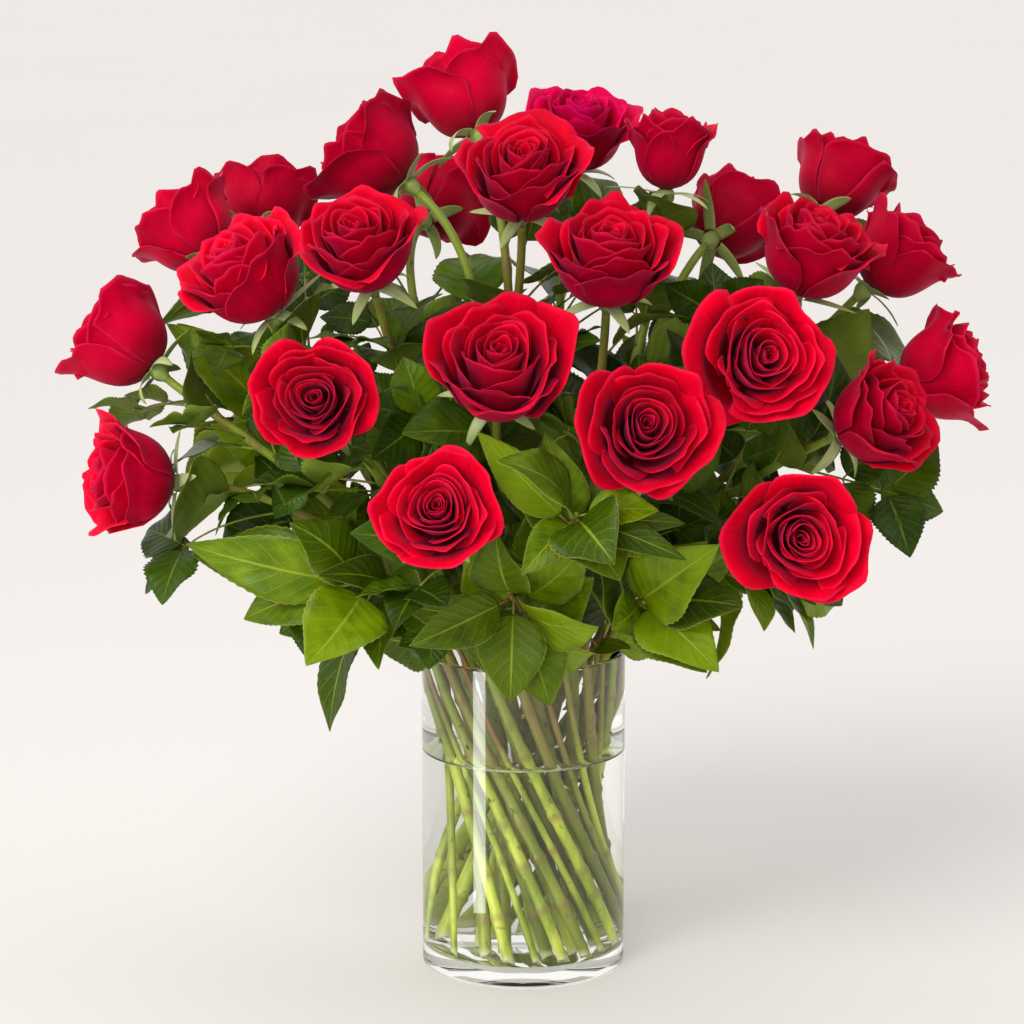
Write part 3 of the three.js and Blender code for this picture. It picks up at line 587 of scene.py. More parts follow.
def spline_weights(t):
    """Weights of five control points of a clamped cubic B-spline at each t from 0 to 1."""
    t = np.clip(t, 0, 1 - 1e-9)[..., None]
    low, high = KNOTS[:-1], KNOTS[1:]
    weights = ((t >= low) & (t < high)).astype(float)
    for degree in (1, 2, 3):
        count = len(KNOTS) - degree - 1
        left, right = KNOTS[:count], KNOTS[degree + 1:]
        up = np.maximum(KNOTS[degree:degree + count] - left, 1e-12)
        down = np.maximum(right - KNOTS[1:count + 1], 1e-12)
        weights = (t - left) / up * weights[..., :count] * (KNOTS[degree:degree + count] > left) \
            + (right - t) / down * weights[..., 1:count + 1] * (right > KNOTS[1:count + 1])
    return weights


def bloom_grids(wide, openness, loose, tall, key):
    """Grids of the petals of a bloom that stands on its seat at the origin and faces +Z, and their marks.

    loose is the angle about +Z at which an outer petal stands away from the rest, or None.
    """
    v = np.linspace(0, 1, PETAL_ROWS)[:, None] ** 0.85
    u = np.linspace(-1, 1, PETAL_COLUMNS)[None, :]
    hand = 1 if draw(key, 0, 70) > 0.5 else -1
    swing, lift = 6.3 * draw(key, 1, 70), 6.3 * draw(key, 2, 70)
    heart = 0.035 * np.array([math.cos(lift), math.sin(lift)])
    bunch = 6.3 * draw(key, 3, 70)
    grids, marks = [], []
    for j in range(PETALS):
        p = j / (PETALS - 1)
        jitter = lambda name, size: size * (draw(key, j, name) - 0.5) * 2
        turn = hand * math.radians(GOLDEN_ANGLE) * j + jitter(75, 0.22)
        outer = smooth(p, 0.45, 1)
        away = 0.0
        if loose is not None and p > 0.86:
            away = max(0.0, math.cos(turn - loose) - 0.5) / 0.5
        grown = p + 0.035 * math.sin(6.3 * 3 * p + bunch) * (1 - p) * min(1, 6 * p)
        rim = 0.024 + 0.38 * grown ** 1.22 + 0.06 * openness * outer
        rim = rim + jitter(71, 0.004 + 0.034 * p * (1.2 - p)) + 0.10 * away
        belly = rim * (0.94 - 0.13 * outer) - 0.03 * away
        high = 0.605 + 0.035 * math.sin(math.pi * min(1, p * 1.05) ** 0.85) - 0.06 * outer * openness
        high += jitter(72, 0.024) - 0.03 * away - 0.045 * math.exp(-(p / 0.13) ** 2)
        roll = (0.013 + 0.022 * smooth(p, 0.12, 0.45) + 0.027 * outer) * (1 + jitter(73, 0.45))
        top = rim - 0.20 * rim * (1 - smooth(p, 0.05, 0.4)) - 0.6 * roll
        tip_at = jitter(78, 0.25)
        off = np.abs(u - tip_at) / (1 + abs(tip_at))
        end = 1 - 0.09 * off - 0.44 * off ** 4.5
        s = v * end
        radius = np.array([0.05, 0.62 * belly + 0.02, belly, belly + 0.15 * (top - belly), top])
        height = np.array([0.0, 0.04, 0.24, 0.24 + 0.60 * (high - 0.24), high])
        weights = spline_weights(s)
        r = np.einsum("vuc,c->vu", weights, radius)
        z = np.einsum("vuc,c->vu", weights, height)
        bent = np.clip((v - 0.66) / 0.34, 0, 1)
        curled = roll * (0.5 + 0.9 * off ** 1.5 - 0.2 * np.exp(-(off / 0.2) ** 2))
        curled = curled * (1 - 0.85 * smooth(off, 0.62, 0.95))
        point = (0.014 + 0.042 * outer) * np.exp(-(off / 0.16) ** 2)
        r = r + 1.55 * curled * bent ** 1.7 + point * bent ** 2
        z = z - 0.95 * curled * bent ** 3.2 + 0.25 * point * bent ** 2
        half = np.clip(0.34 / (rim + 0.02), 0.95, 2.4) + 0.30 * smooth(p, 0.75, 1)
        half = half * (1 + jitter(74, 0.12))
        tilt = 0.05 + 0.10 * (1 - smooth(p, 0, 0.4)) + jitter(79, 0.03)
        phase = 6.3 * draw(key, j, 76)
        a = turn + u * half
        ripple = (0.003 + 0.014 * outer) * np.sin(u * 5.2 + phase) * v ** 3
        crease = (0.004 + 0.018 * outer) * np.sin(u * 11 + 2 * phase) * v ** 5
        crease = crease + (0.002 + 0.008 * outer) * np.sin(u * 17 + 3 * phase) * v ** 8
        squareness = 0.08 * np.cos(2 * (a - swing)) * (1.1 - p) + 0.04 * np.cos(3 * (a - lift))
        r = r * (1 + tilt * u * hand * s) * (1 + squareness * smooth(s, 0.1, 0.8)) + ripple
        z = z + 0.8 * ripple + crease
        x, y = r * np.cos(a) + heart[0] * (1 - p) * s, r * np.sin(a) + heart[1] * (1 - p) * s
        grids.append(np.stack([x, y, z * tall], -1) * wide)
        marks.append(sheet_marks(u, v, 0.5 * p + 0.5 * draw(key, j, 77)))
    return np.array(grids), np.array(marks)


def turned(points, axis, back=False):
    """Points that face +Z turned to face along an axis, as the CAD bloom is, or turned back."""
    q = np.array([-axis[1], axis[0], 0, 1 + axis[2]])
    q /= np.linalg.norm(q)
    twist = -q[:3] if back else q[:3]
    t = 2 * np.cross(twist, points)
    return points + q[3] * t + np.cross(twist, t)


def add_hip(shape, end, axis, key):
    """The green hip under a bloom, which swells from the stem."""
    share = np.array([0, 0.12, 0.28, 0.45, 0.62, 0.8, 0.94, 1.0])
    swell = np.array([2.6, 2.9, 4.2, 5.3, 5.6, 5.4, 5.0, 4.4])
    path = end + np.outer(share * HIP_LENGTH, axis)
    points, faces = tube(path, swell, 14)
    shape.add(points, faces, CALYX, (0.3, 1, 0.2, draw(key, 4, 98)))


def add_sepals(shape, seat, axis, key):
    """Five long pointed sepals that bend out and back from the hip's top."""
    level, upright = across(axis)
    v = np.linspace(0, 1, 12)[:, None]
    u = np.linspace(-1, 1, 5)[None, :]
    for k in range(SEPALS):
        a = 2 * math.pi * (k + 0.3 * draw(key, k, 81)) / SEPALS + 6 * draw(key, 0, 82)
        out = level * math.cos(a) + upright * math.sin(a)
        side = np.cross(axis, out)
        long = SEPAL_LENGTH * (1.0 + 0.35 * draw(key, k, 83))
        angle = 1.35 + (0.1 + 1.6 * draw(key, k, 84)) * v
        step = long / (len(v) - 1)
        r = 4.0 + np.cumsum(np.sin(angle) * step, axis=0)
        z = -3.0 + np.cumsum(np.cos(angle) * step, axis=0)
        half = 4.8 * (1 - v) ** 0.8 * (0.75 + 0.9 * v) + 0.25
        cup = 1.2 * u ** 2 * (1 - v)
        points = (seat + (r - cup)[..., None] * out + (z + 0 * u)[..., None] * axis
                  + (u * half)[..., None] * side)
        add_sheets(shape, points[None], 0.7, CALYX, sheet_marks(u, v, draw(key, k, 85))[None])


# ------------------------ finishes
class Finish:
    """A material and short ways to wire its nodes."""

    def __init__(self, name, **sockets):
        self.material = bpy.data.materials.new(name)
        self.material.use_nodes = True
        self.tree = self.material.node_tree
        self.shader = self.tree.nodes["Principled BSDF"]
        for socket, value in sockets.items():
            self.shader.inputs[socket.replace("_", " ")].default_value = value

    def node(self, kind, inputs=(), **settings):
        made = self.tree.nodes.new("ShaderNode" + kind)
        for name, value in settings.items():
            setattr(made, name, value)
        for name, value in dict(inputs).items():
            self.give(made.inputs[name], value)
        return made

    def give(self, socket, value):
        if isinstance(value, bpy.types.NodeSocket):
            self.tree.links.new(value, socket)
        else:
            socket.default_value = value

    def to(self, socket, value):
        self.give(self.shader.inputs[socket], value)

    def math(self, operation, a, b=0.0):
        return self.node("Math", {0: a, 1: b}, operation=operation).outputs[0]

    def times(self, a, b):
        return self.math("MULTIPLY", a, b)

    def off_middle(self, a):
        return self.math("ABSOLUTE", self.math("SUBTRACT", a, 0.5))

    def step(self, value, low, high, out_low=0.0, out_high=1.0):
        """A smooth change of a value's range."""
        made = self.node("MapRange", {"Value": value, "From Min": low, "From Max": high, "To Min": out_low,
                                      "To Max": out_high}, interpolation_type="SMOOTHSTEP")
        return made.outputs["Result"]

    def blend(self, share, a, b, kind="MIX"):
        made = self.node("Mix", data_type="RGBA", blend_type=kind)
        self.give(made.inputs[0], share)
        for socket, color in ((made.inputs[6], a), (made.inputs[7], b)):
            self.give(socket, color if isinstance(color, bpy.types.NodeSocket) else (*color, 1))
        return made.outputs[2]

    def marks(self):
        """u and v from 0 to 1, the third mark and the random one."""
        read = self.node("Attribute", attribute_name="marks")
        parts = self.node("SeparateColor", {"Color": read.outputs["Color"]})
        return parts.outputs[0], parts.outputs[1], parts.outputs[2], read.outputs["Alpha"]

    def stretched(self, x, x_scale, y, y_scale, z, z_scale):
        """Three values as a place in a noise, each to its own scale."""
        scaled = {"X": self.times(x, x_scale), "Y": self.times(y, y_scale), "Z": self.times(z, z_scale)}
        return self.node("CombineXYZ", scaled).outputs[0]

    def noise(self, vector, scale, detail=2.0):
        return self.node("TexNoise", {"Vector": vector, "Scale": scale, "Detail": detail}).outputs["Fac"]

    def place(self):
        return self.node("NewGeometry").outputs["Position"]

    def bump(self, height, strength, distance):
        made = self.node("Bump", {"Height": height, "Strength": strength, "Distance": distance})
        self.to("Normal", made.outputs[0])


def petal_finish(name, rim_tint_and_highlight, rim_from, tone):
    """Velvety red, brighter inside and duller outside, darker towards the base (deeper colour and painted
    shade), with fine veins that run to a thin rim with a painted highlight.
    """
    f = Finish(name, Roughness=0.48, Sheen_Weight=0.18, Sheen_Roughness=0.4, Sheen_Tint=(1, 0.15, 0.48, 1),
               Specular_IOR_Level=0.035, Subsurface_Weight=0.06, Subsurface_Radius=(1, 0.1, 0.08),
               Subsurface_Scale=0.0025)
    u, v, outside, own = f.marks()
    # Towards the petal's base, inside and out, the red darkens: partly the flower's deeper colour, partly
    # painted shade deep in the cup between the petals.
    inside = f.blend(f.step(v, 0.22, 0.86), (0.34, 0.0, 0.002), (0.80, 0.0, 0.022))
    back = f.blend(f.step(v, 0.0, 0.5), (0.34, 0.006, 0.02), (0.52, 0.0, 0.026))
    color = f.blend(outside, inside, back)
    # Along the petal's thin edges the colour turns lighter: a painted highlight of light on and through the
    # thin rim, over the rim's own tint.
    across_it = f.off_middle(u)
    rim = f.math("MAXIMUM", f.step(v, rim_from, 1.0), f.step(across_it, 0.46, 0.5))
    color = f.blend(f.times(rim, 0.25), color, rim_tint_and_highlight)
    veins = f.noise(f.stretched(u, 42, v, 2.2, own, 17), 1.0, 3.0)
    cloud = f.noise(f.stretched(u, 3, v, 3, own, 31), 1.0)
    shade = f.math("ADD", f.step(veins, 0.3, 0.7, 0.92, 1.05), f.step(cloud, 0.3, 0.7, -0.14, 0.08))
    shade = f.times(shade, f.step(own, 0, 1, 0.92 * tone, 1.08 * tone))
    grey = f.node("CombineColor", {0: shade, 1: shade, 2: shade}).outputs[0]
    f.to("Base Color", f.blend(1.0, color, grey, "MULTIPLY"))
    f.bump(f.math("ADD", veins, f.times(cloud, 1.8)), 0.3, 0.0006)
    return f.material


def leaf_finish(name, top, top_light, under, vein, gloss, edge=0.0):
    """A glossy leaf with a midrib, side veins and a paler back."""
    f = Finish(name, Specular_IOR_Level=0.17, Subsurface_Weight=0.0)
    u, v, back, own = f.marks()
    x = f.times(f.off_middle(u), 2)
    slant = f.math("SUBTRACT", v, f.times(f.math("POWER", x, 0.8), 0.3))
    wave = f.math("FRACT", f.times(slant, 7.5))
    side_vein = f.step(f.off_middle(wave), 0.045, 0.0)
    side_vein = f.times(side_vein, f.step(x, 1.0, 0.55))
    midrib = f.step(x, 0.06, 0.015)
    where = f.stretched(u, 5, v, 9, own, 41)
    cells = f.node("TexVoronoi", {"Vector": where, "Scale": 3.2}, feature="DISTANCE_TO_EDGE")
    net = f.step(cells.outputs["Distance"], 0.055, 0.0)
    veins = f.math("MAXIMUM", f.math("MAXIMUM", f.times(side_vein, 0.7), midrib), f.times(net, 0.28))
    mottle = f.noise(where, 0.5, 2.0)
    fine = f.noise(where, 9.0, 2.0)
    face = f.blend(f.step(f.math("ADD", mottle, f.step(own, 0, 1, -0.25, 0.25)), 0.25, 0.8), top, top_light)
    old = f.step(f.math("FRACT", f.times(own, 7.3)), 0.05, 0.95, 0.42, 1.12)
    tone = f.node("CombineColor", {0: old, 1: f.math("POWER", old, 0.85), 2: old}).outputs[0]
    face = f.blend(1.0, face, tone, "MULTIPLY")
    face = f.blend(f.times(veins, 0.55), face, vein)
    below = f.blend(f.times(veins, 0.5), f.blend(mottle, under, top_light), vein)
    color = f.blend(back, face, below)
    if edge:
        border = f.math("MAXIMUM", f.step(x, 0.93, 1.0), f.step(v, 0.975, 1.0))
        color = f.blend(f.times(border, edge), color, (0.45, 0.42, 0.08))
    f.to("Base Color", color)
    rough = f.step(fine, 0.2, 0.8, gloss - 0.05, gloss + 0.08)
    f.to("Roughness", f.math("ADD", rough, f.times(back, 0.22)))
    pillow = f.off_middle(wave)
    height = f.math("ADD", f.times(pillow, -1.6), f.times(fine, 0.25))
    f.bump(f.math("SUBTRACT", height, f.times(midrib, 0.8)), 0.5, 0.0006)
    return f.material


def stem_finish(name, young, woody, woody_share):
    """A stem: yellow-green under water, green to brown above it, with darker joints and fine ridges."""
    f = Finish(name, Roughness=0.4, Specular_IOR_Level=0.35)
    _, _, knot, own = f.marks()
    where = f.node("SeparateXYZ", {"Vector": f.place()}).outputs["Z"]
    low = f.node("Mapping", {"Vector": f.place(), "Scale": (1, 1, 0.18)}).outputs[0]
    ridges, patches = f.noise(low, 900.0, 2.0), f.noise(low, 75.0, 3.0)
    above = f.step(where, 0.125, 0.16)
    upper = f.blend(f.step(where, 0.2, 0.3), young, (0.24, 0.33, 0.03))
    brown = f.step(f.math("ADD", patches, f.step(own, 0, 1, -0.15, 0.15)), 0.4, 0.65)
    dry = f.blend(f.times(brown, woody_share), upper, woody)
    wet = f.blend(f.step(patches, 0.3, 0.7), (0.60, 0.68, 0.07), (0.20, 0.29, 0.012))
    # Some stems are darker under water, drawn at random per stem: partly a stem's own darker tone, partly
    # painted shade deep in the bundle of stems.
    wet = f.blend(f.step(own, 0.35, 1.0, 0.0, 0.8), wet, (0.10, 0.12, 0.008))
    color = f.blend(above, wet, dry)
    specks = f.step(f.noise(f.place(), 260.0, 1.0), 0.66, 0.74)
    color = f.blend(f.times(specks, 0.6), color, (0.15, 0.09, 0.03))
    color = f.blend(f.times(knot, 0.6), color, (0.20, 0.12, 0.04))
    color = f.blend(f.times(f.step(where, 0.0215, 0.0165), 0.8), color, (0.55, 0.56, 0.30))
    f.to("Base Color", color)
    f.bump(f.math("ADD", ridges, f.times(patches, 0.6)), 0.4, 0.0005)
    return f.material


def calyx_finish():
    """Hips and sepals: pale green, paler inside and near the bloom."""
    f = Finish("calyx", Roughness=0.5, Specular_IOR_Level=0.3)
    u, v, back, own = f.marks()
    streaks = f.noise(f.stretched(u, 14, v, 2, own, 23), 1.0)
    outside = f.blend(v, (0.46, 0.54, 0.20), (0.26, 0.38, 0.06))
    color = f.blend(back, f.blend(v, (0.56, 0.62, 0.34), (0.36, 0.46, 0.14)), outside)
    f.to("Base Color", f.blend(f.step(streaks, 0.35, 0.7, 0.0, 0.35), color, (0.16, 0.26, 0.03)))
    f.bump(streaks, 0.3, 0.0004)
    return f.material


def glass_finish(name, bends):
    """Clear glass, with the faintest waves of a blown wall."""
    f = Finish(name, Roughness=0.0, IOR=bends, Transmission_Weight=1.0, Base_Color=(0.99, 0.997, 0.994, 1))
    low = f.node("Mapping", {"Vector": f.place(), "Scale": (1, 1, 0.25)}).outputs[0]
    f.bump(f.noise(low, 18.0, 1.0), 0.03, 0.002)
    return f.material


def water_finish(name, bends):
    f = Finish(name, Roughness=0.0, IOR=bends, Transmission_Weight=1.0, Base_Color=(0.985, 0.995, 0.97, 1))
    f.bump(f.noise(f.place(), 30.0, 1.0), 0.12, 0.002)
    return f.material


def floor_finish():
    f = Finish("pale_floor", Roughness=0.7, Specular_IOR_Level=0.15)
    f.to("Base Color", f.blend(f.noise(f.place(), 1.5, 2.0), (0.79, 0.762, 0.740), (0.81, 0.782, 0.760)))
    return f.material


# ------------------------ the bouquet
rose_green = [
    leaf_finish("rose_leaf", (0.028, 0.070, 0.001), (0.075, 0.140, 0.001), (0.21, 0.28, 0.04),
                (0.19, 0.26, 0.02), 0.33),
    stem_finish("rose_stem", (0.25, 0.32, 0.03), (0.24, 0.13, 0.045), 0.6),
    calyx_finish(),
]
spray_green = [
    leaf_finish("spray_leaf", (0.065, 0.125, 0.001), (0.165, 0.255, 0.001), (0.26, 0.34, 0.02),
                (0.36, 0.43, 0.03), 0.36, edge=0.35),
    stem_finish("spray_stem", (0.24, 0.25, 0.03), (0.24, 0.10, 0.045), 0.85),
]
deep_petals = [petal_finish("deep_petal", (0.84, 0.035, 0.13), 0.955, 0.80)]
bright_petals = [petal_finish("bright_petal", (0.84, 0.035, 0.15), 0.955, 0.98)]
magenta_petals = [petal_finish("magenta_petal", (0.85, 0.0, 0.32), 0.80, 0.9)]
SPRAY_FILL, ROSE_FILL, BROAD_FILL = 20, 2, 7  # leaves tried on each stem beyond those of the CAD part
FILL_ROOM = 2.6  # how far the points of such a leaf keep from others
SLOPE = 0.208  # of the view, downwards
OVERHANG = 11  # how far below the rim such a leaf may be seen
ROOM_AT_ROOT = 12  # nearer to its root than this, a leaf's points aren't tested
MAY_HIDE = 0.06  # share of its points that may stand before a bloom
obstacles = []  # points that a filling leaf keeps clear of
walls = []  # surfaces that it doesn't cross, each with its box and, where it is a stem's, that stem
left_out = []  # leaves that weren't found on the CAD stems


def add_wall(points, faces, stem=None):
    """Keeps a surface, which no later filling leaf may cross."""
    walls.append((BVHTree.FromPolygons(points.tolist(), faces), points.min(0), points.max(0), stem))


def crosses(shape, own):
    """Whether a leaf cuts through a surface that stands there, its own stem apart."""
    points = np.concatenate(shape.points)
    tree = BVHTree.FromPolygons(points.tolist(), shape.faces)
    low, high = points.min(0), points.max(0)
    return any(stem is not own and (least <= high).all() and (most >= low).all() and tree.overlap(wall)
               for wall, least, most, stem in walls)


def is_clear(points):
    """Whether points keep a distance from every obstacle."""
    low, high = points.min(0) - FILL_ROOM, points.max(0) + FILL_ROOM
    for cloud in obstacles:
        if (cloud.max(0) < low).any() or (cloud.min(0) > high).any():
            continue
        near = cloud[((cloud > low) & (cloud < high)).all(1)]
        if len(near) and (((points[:, None] - near[None]) ** 2).sum(-1) < FILL_ROOM * FILL_ROOM).any():
            return False
    return True


def hides_bloom(points):
    """Whether a leaf stands before a bloom, as the viewer sees them."""
    heads = np.array([rose[0] for rose in ROSES]) - VIEWER
    far = np.linalg.norm(heads, axis=1)
    ways = heads / far[:, None]
    seen = points[::4] - VIEWER
    depth = seen @ ways.T
    beside = np.sqrt((seen ** 2).sum(1)[:, None] - depth ** 2) * far / depth
    hidden = (beside < 0.45 * np.array([rose[3] for rose in ROSES])) & (depth < far)
    return hidden.any(1).mean() > MAY_HIDE


def grow_cad_leaf(shape, stem, radius, tree, length, wanted, loose, key, wide=None, pairs=None):
    """The leaf that the CAD stem carries at this place. Where none is found, fill gets the place."""
    # No compound leaf is found: the nearest packed corner lies 0.3 to 0.44 mm from its tip, not 1.0.
    near = 1.0 if pairs else 0.0
    found = grown_leaf(tree, tries_of(stem, length, wanted, loose, key), near)
    if found is None:
        long = np.linalg.norm(wanted - stem.curved(length))
        left_out.append((shape, stem, radius, length, key, long, wide, pairs, wanted))
        return
    tip, turn, curl = found
    base = stem.curved(length)
    root = base + unit(tip - base) * radius * SUNK
    hint = outward((root + tip) / 2) + turn
    leaf = Shape()
    cloud = add_leaf(leaf, root, tip, hint, wide, pairs, curl, key)
    shape.take(leaf)
    obstacles.append(cloud[::3])
    add_wall(np.concatenate(leaf.points), leaf.faces)


def fill(shape, stem, radius, length, key, long, wide=None, pairs=None, wanted=None, stalk=STALK_SHARE):
    """A leaf that only the looks have, where there is room for it."""
    base, ahead = stem.curved(length - 2), stem.curved(length)
    direction = unit(ahead - base)
    for k in range(TRIES):
        if wanted is None:
            tip = rule_tip(base, direction, key * 0.37 + k * 1.13, long * (1 - 0.015 * k), 0.6)
        else:
            tip = wanted + 1.3 * k * (draws(key, k, 91, 92, 93) - 0.5)
        root = base + unit(tip - base) * radius * SUNK
        turn = draws(key, k, 51, 52, 53) - 0.5
        hint = outward((root + tip) / 2) + turn * (1.2 if wanted is None else 0.5)
        if wanted is not None:
            hint = hint + TO_VIEWER
        trial = Shape()
        cloud = add_leaf(trial, root, tip, hint, wide, pairs, free_curl(key, k), key, stalk)[::3]
        far = cloud[np.linalg.norm(cloud - base, axis=1) > ROOM_AT_ROOT]
        seen_low = (far[:, 2] + SLOPE * np.minimum(far[:, 1], 0)).min()
        if seen_low < GLASS["height"] - OVERHANG or hides_bloom(far):
            continue
        if not is_clear(far) or crosses(trial, stem):
            continue
        shape.take(trial)
        obstacles.append(cloud)
        add_wall(np.concatenate(trial.points), trial.faces)
        return


# Blooms first, then every stem, so that the leaves know what stands where.
rose_stems = []
for i, (at, turn, up, wide, ring, leaving, openness) in enumerate(ROSES):
    axis = facing(turn, up)
    seat = np.array(at) - axis * HEAD_BELOW * wide
    rose_stems.append((Stem(ring, leaving, seat - axis * HIP_LENGTH, axis), axis, seat))
    loose = LOOSE.get(i + 1)
    if loose is not None:
        seen = math.radians(loose)
        local = turned(np.array([math.cos(seen), 0, math.sin(seen)]), axis, back=True)
        loose = math.atan2(local[1], local[0])
    grids, marks = bloom_grids(wide, openness, loose, TALL.get(i + 1, 1.0), i)
    grids = turned(grids, axis) + seat + axis * GAP
    bloom = Shape()
    add_sheets(bloom, grids, 0.6, PETAL, marks)
    red = magenta_petals if i + 1 == MAGENTA else bright_petals if i + 1 in BRIGHT else deep_petals
    add_piece(f"rose_{numbered(i)}_petals", bloom, red, f"rose_{numbered(i)}_bloom")
    outer_half = grids[-(PETALS // 2):, 1::2, ::2]
    obstacles.append(outer_half.reshape(-1, 3))
    add_wall(np.concatenate(bloom.points), bloom.faces)
spray_stems = [Stem("outer", leaving, end) for leaving, end, _, _ in SPRAYS]
sized_stems = [(rose[0], ROSE_STEM) for rose in rose_stems] + [(stem, SPRAY_STEM) for stem in spray_stems]
for stem, size in sized_stems:
    along = np.arange(stem.lengths[1], stem.lengths[-1], 3)
    path = np.array([stem.curved(length) for length in along])
    obstacles.append(path)
    points, faces = tube(path, np.full(len(path), 1.1 * size["neck"] + 0.2), STEM_SIDES)
    add_wall(points, [np.asarray(face).tolist() for face in faces], stem)

# The leaves that are found on the CAD stems.
spray_shapes, rose_shapes = [], []
for i, ((leaving, end, extra, leaves), stem) in enumerate(zip(SPRAYS, spray_stems)):
    shape, tree = Shape(), tree_of(f"spray_{i + 1}")
    first = SPRAY_LEAF["first"]
    rest = [first + (1 - first) * (j + 1) / extra for j in range(extra)]
    places = stem.nodes([share for share, _, _ in leaves] + rest)
    for j, place in enumerate(places):
        key = 100 * (i + 1) + j
        if j < len(leaves):
            _, tip, wide = leaves[j]
            grow_cad_leaf(shape, stem, SPRAY_ROOT, tree, place, np.array(tip, float), 0.6, key, wide)
            continue
        n = j - len(leaves)
        long = SPRAY_LEAF["long"] * (0.85 + 0.3 * draw(i, n, DRAW["length"]))
        wide = SPRAY_LEAF["wide"] * (0.85 + 0.3 * draw(i, n, DRAW["width"]))
        tip = cad_tip(stem, place, i + n, long, SPRAY_LEAF["lean"])
        grow_cad_leaf(shape, stem, SPRAY_ROOT, tree, place, tip, 0.9, key, wide)
    spray_shapes.append((shape, places))
for i, (stem, axis, seat) in enumerate(rose_stems):
    shape, tree = Shape(), tree_of(f"rose_{numbered(i)}_stem")
    count = 2 if np.linalg.norm(seat - stem.rim) > ROSE_LEAF["second"] else 1
    reach = ROSE_LEAF["last"] - ROSE_LEAF["first"]
    shares = [(j + draw(i, j, DRAW["place"])) / count for j in range(count)]
    places = stem.nodes([ROSE_LEAF["first"] + reach * share for share in shares])
    for j, place in enumerate(places):
        pairs = 2 if draw(i, j, DRAW["pairs"]) > 0.75 else 1
        long = ROSE_LEAF["long"] * (0.85 + 0.2 * draw(i, j, DRAW["length"])) * (1.15 if pairs > 1 else 1)
        tip = cad_tip(stem, place, i * 2 + j, long, ROSE_LEAF["lean"])
        grow_cad_leaf(shape, stem, ROSE_ROOT, tree, place, tip, 1.1, 1000 + 10 * i + j, pairs=pairs)
    rose_shapes.append((shape, places))

# Leaves that weren't found, filling leaves, the stems themselves, and what sits under each bloom. Each kind
# of leaf has its own range of keys, so that no two leaves have the same draws.
for what in left_out:
    fill(*what)
for k, (number, share, tip, wide, *stalk) in enumerate(FRONT_LEAVES):
    stem, (shape, _) = spray_stems[number - 1], spray_shapes[number - 1]
    place = stem.lengths[1] + share * stem.above
    fill(shape, stem, SPRAY_ROOT, place, 4000 + k, None, wide, None, np.array(tip, float), *stalk)
for i, (stem, (shape, places)) in enumerate(zip(spray_stems, spray_shapes)):
    for j in range(SPRAY_FILL):
        place = stem.lengths[1] + (0.10 + 0.9 * (j + draw(i, j, 54)) / SPRAY_FILL) * stem.above
        long = 52 + 32 * draw(i, j, 55)
        wide = long * (0.56 + 0.16 * draw(i, j, 56))
        fill(shape, stem, SPRAY_ROOT, place, 3000 + 30 * i + j, long, wide)
    knots = [*places, 40 + 50 * draw(i, 1, 57)]
    add_stem(shape, stem, **SPRAY_STEM, key=500 + i, knots=knots)
    add_piece(f"greenery_{i + 1}", shape, spray_green, f"spray_{i + 1}")
for i, ((stem, axis, seat), (shape, places)) in enumerate(zip(rose_stems, rose_shapes)):
    for j in range(ROSE_FILL):
        place = stem.lengths[1] + (0.14 + 0.78 * (j + draw(i, j, 58)) / ROSE_FILL) * stem.above
        pairs = 2 if draw(i, j, 59) > 0.6 else 1
        long = 78 + 40 * draw(i, j, 60)
        fill(shape, stem, ROSE_ROOT, place, 6000 + 30 * i + j, long, pairs=pairs)
    for j in range(BROAD_FILL):
        place = stem.lengths[1] + (0.06 + 0.86 * (j + draw(i, j, 86)) / BROAD_FILL) * stem.above
        long = 50 + 34 * draw(i, j, 87)
        wide = long * (0.55 + 0.14 * draw(i, j, 88))
        fill(shape, stem, ROSE_ROOT, place, 9000 + 30 * i + j, long, wide)
    bare = [22 + 36 * j + 20 * draw(i, j, 65) for j in range(6)]
    add_stem(shape, stem, **ROSE_STEM, key=600 + i, knots=[*places, *bare])
    add_thorns(shape, stem, **ROSE_STEM, key=700 + i)
    add_hip(shape, stem.end, axis, i)
    add_sepals(shape, seat, axis, i)
    add_piece(f"rose_{numbered(i)}_greens", shape, rose_green, f"rose_{numbered(i)}_stem")


# ------------------------ glass and water
def arc(r, z, size, start, end, steps):
    a = np.radians(np.linspace(start, end, steps + 1))
    return list(zip(r + size * np.cos(a), z + size * np.sin(a)))


def held(profile, room=0.25):
    """A profile with a second point close to each end of its long straight parts, which keeps them flat."""
    points = [np.array(profile[0], float)]
    for low, high in zip(np.array(profile[:-1], float), np.array(profile[1:], float)):
        far = np.linalg.norm(high - low)
        if far > 8 * room:
            step = (high - low) * room / far
            points += [low + step, high - step]
        points.append(high)
    return points


def glass_profile():
    """The glass's section: thick base with a rounded foot, straight wall, fire-polished rim."""
    radius, height, wall, base, edge = GLASS.values()
    return held([(0, 3.2), (25, 2.7), (45, 1.4), (radius - 9, 0.4), (radius - 7, 0),
                 *arc(radius - edge, edge, edge, -90, 0, 8),
                 *arc(radius - wall / 2, height - wall / 2, wall / 2, 0, 180, 10),
                 *arc(radius - wall - 4, base + 4, 4, 0, -90, 8), (0, base)])


def water_profile():
    """Water that meets the glass a little inside it, with a small rise where it wets the wall."""
    inside = GLASS["radius"] - GLASS["wall"] + 0.12
    low = GLASS["base"] - 0.12
    rise = [(inside - d, WATER_LEVEL + 2.2 * math.exp(-d / 1.1)) for d in (0, 0.3, 0.7, 1.2, 2, 3, 4.5, 7)]
    return held([(0, low), *arc(inside - 4, low + 4, 4, -90, 0, 8), *rise, (0, WATER_LEVEL)])


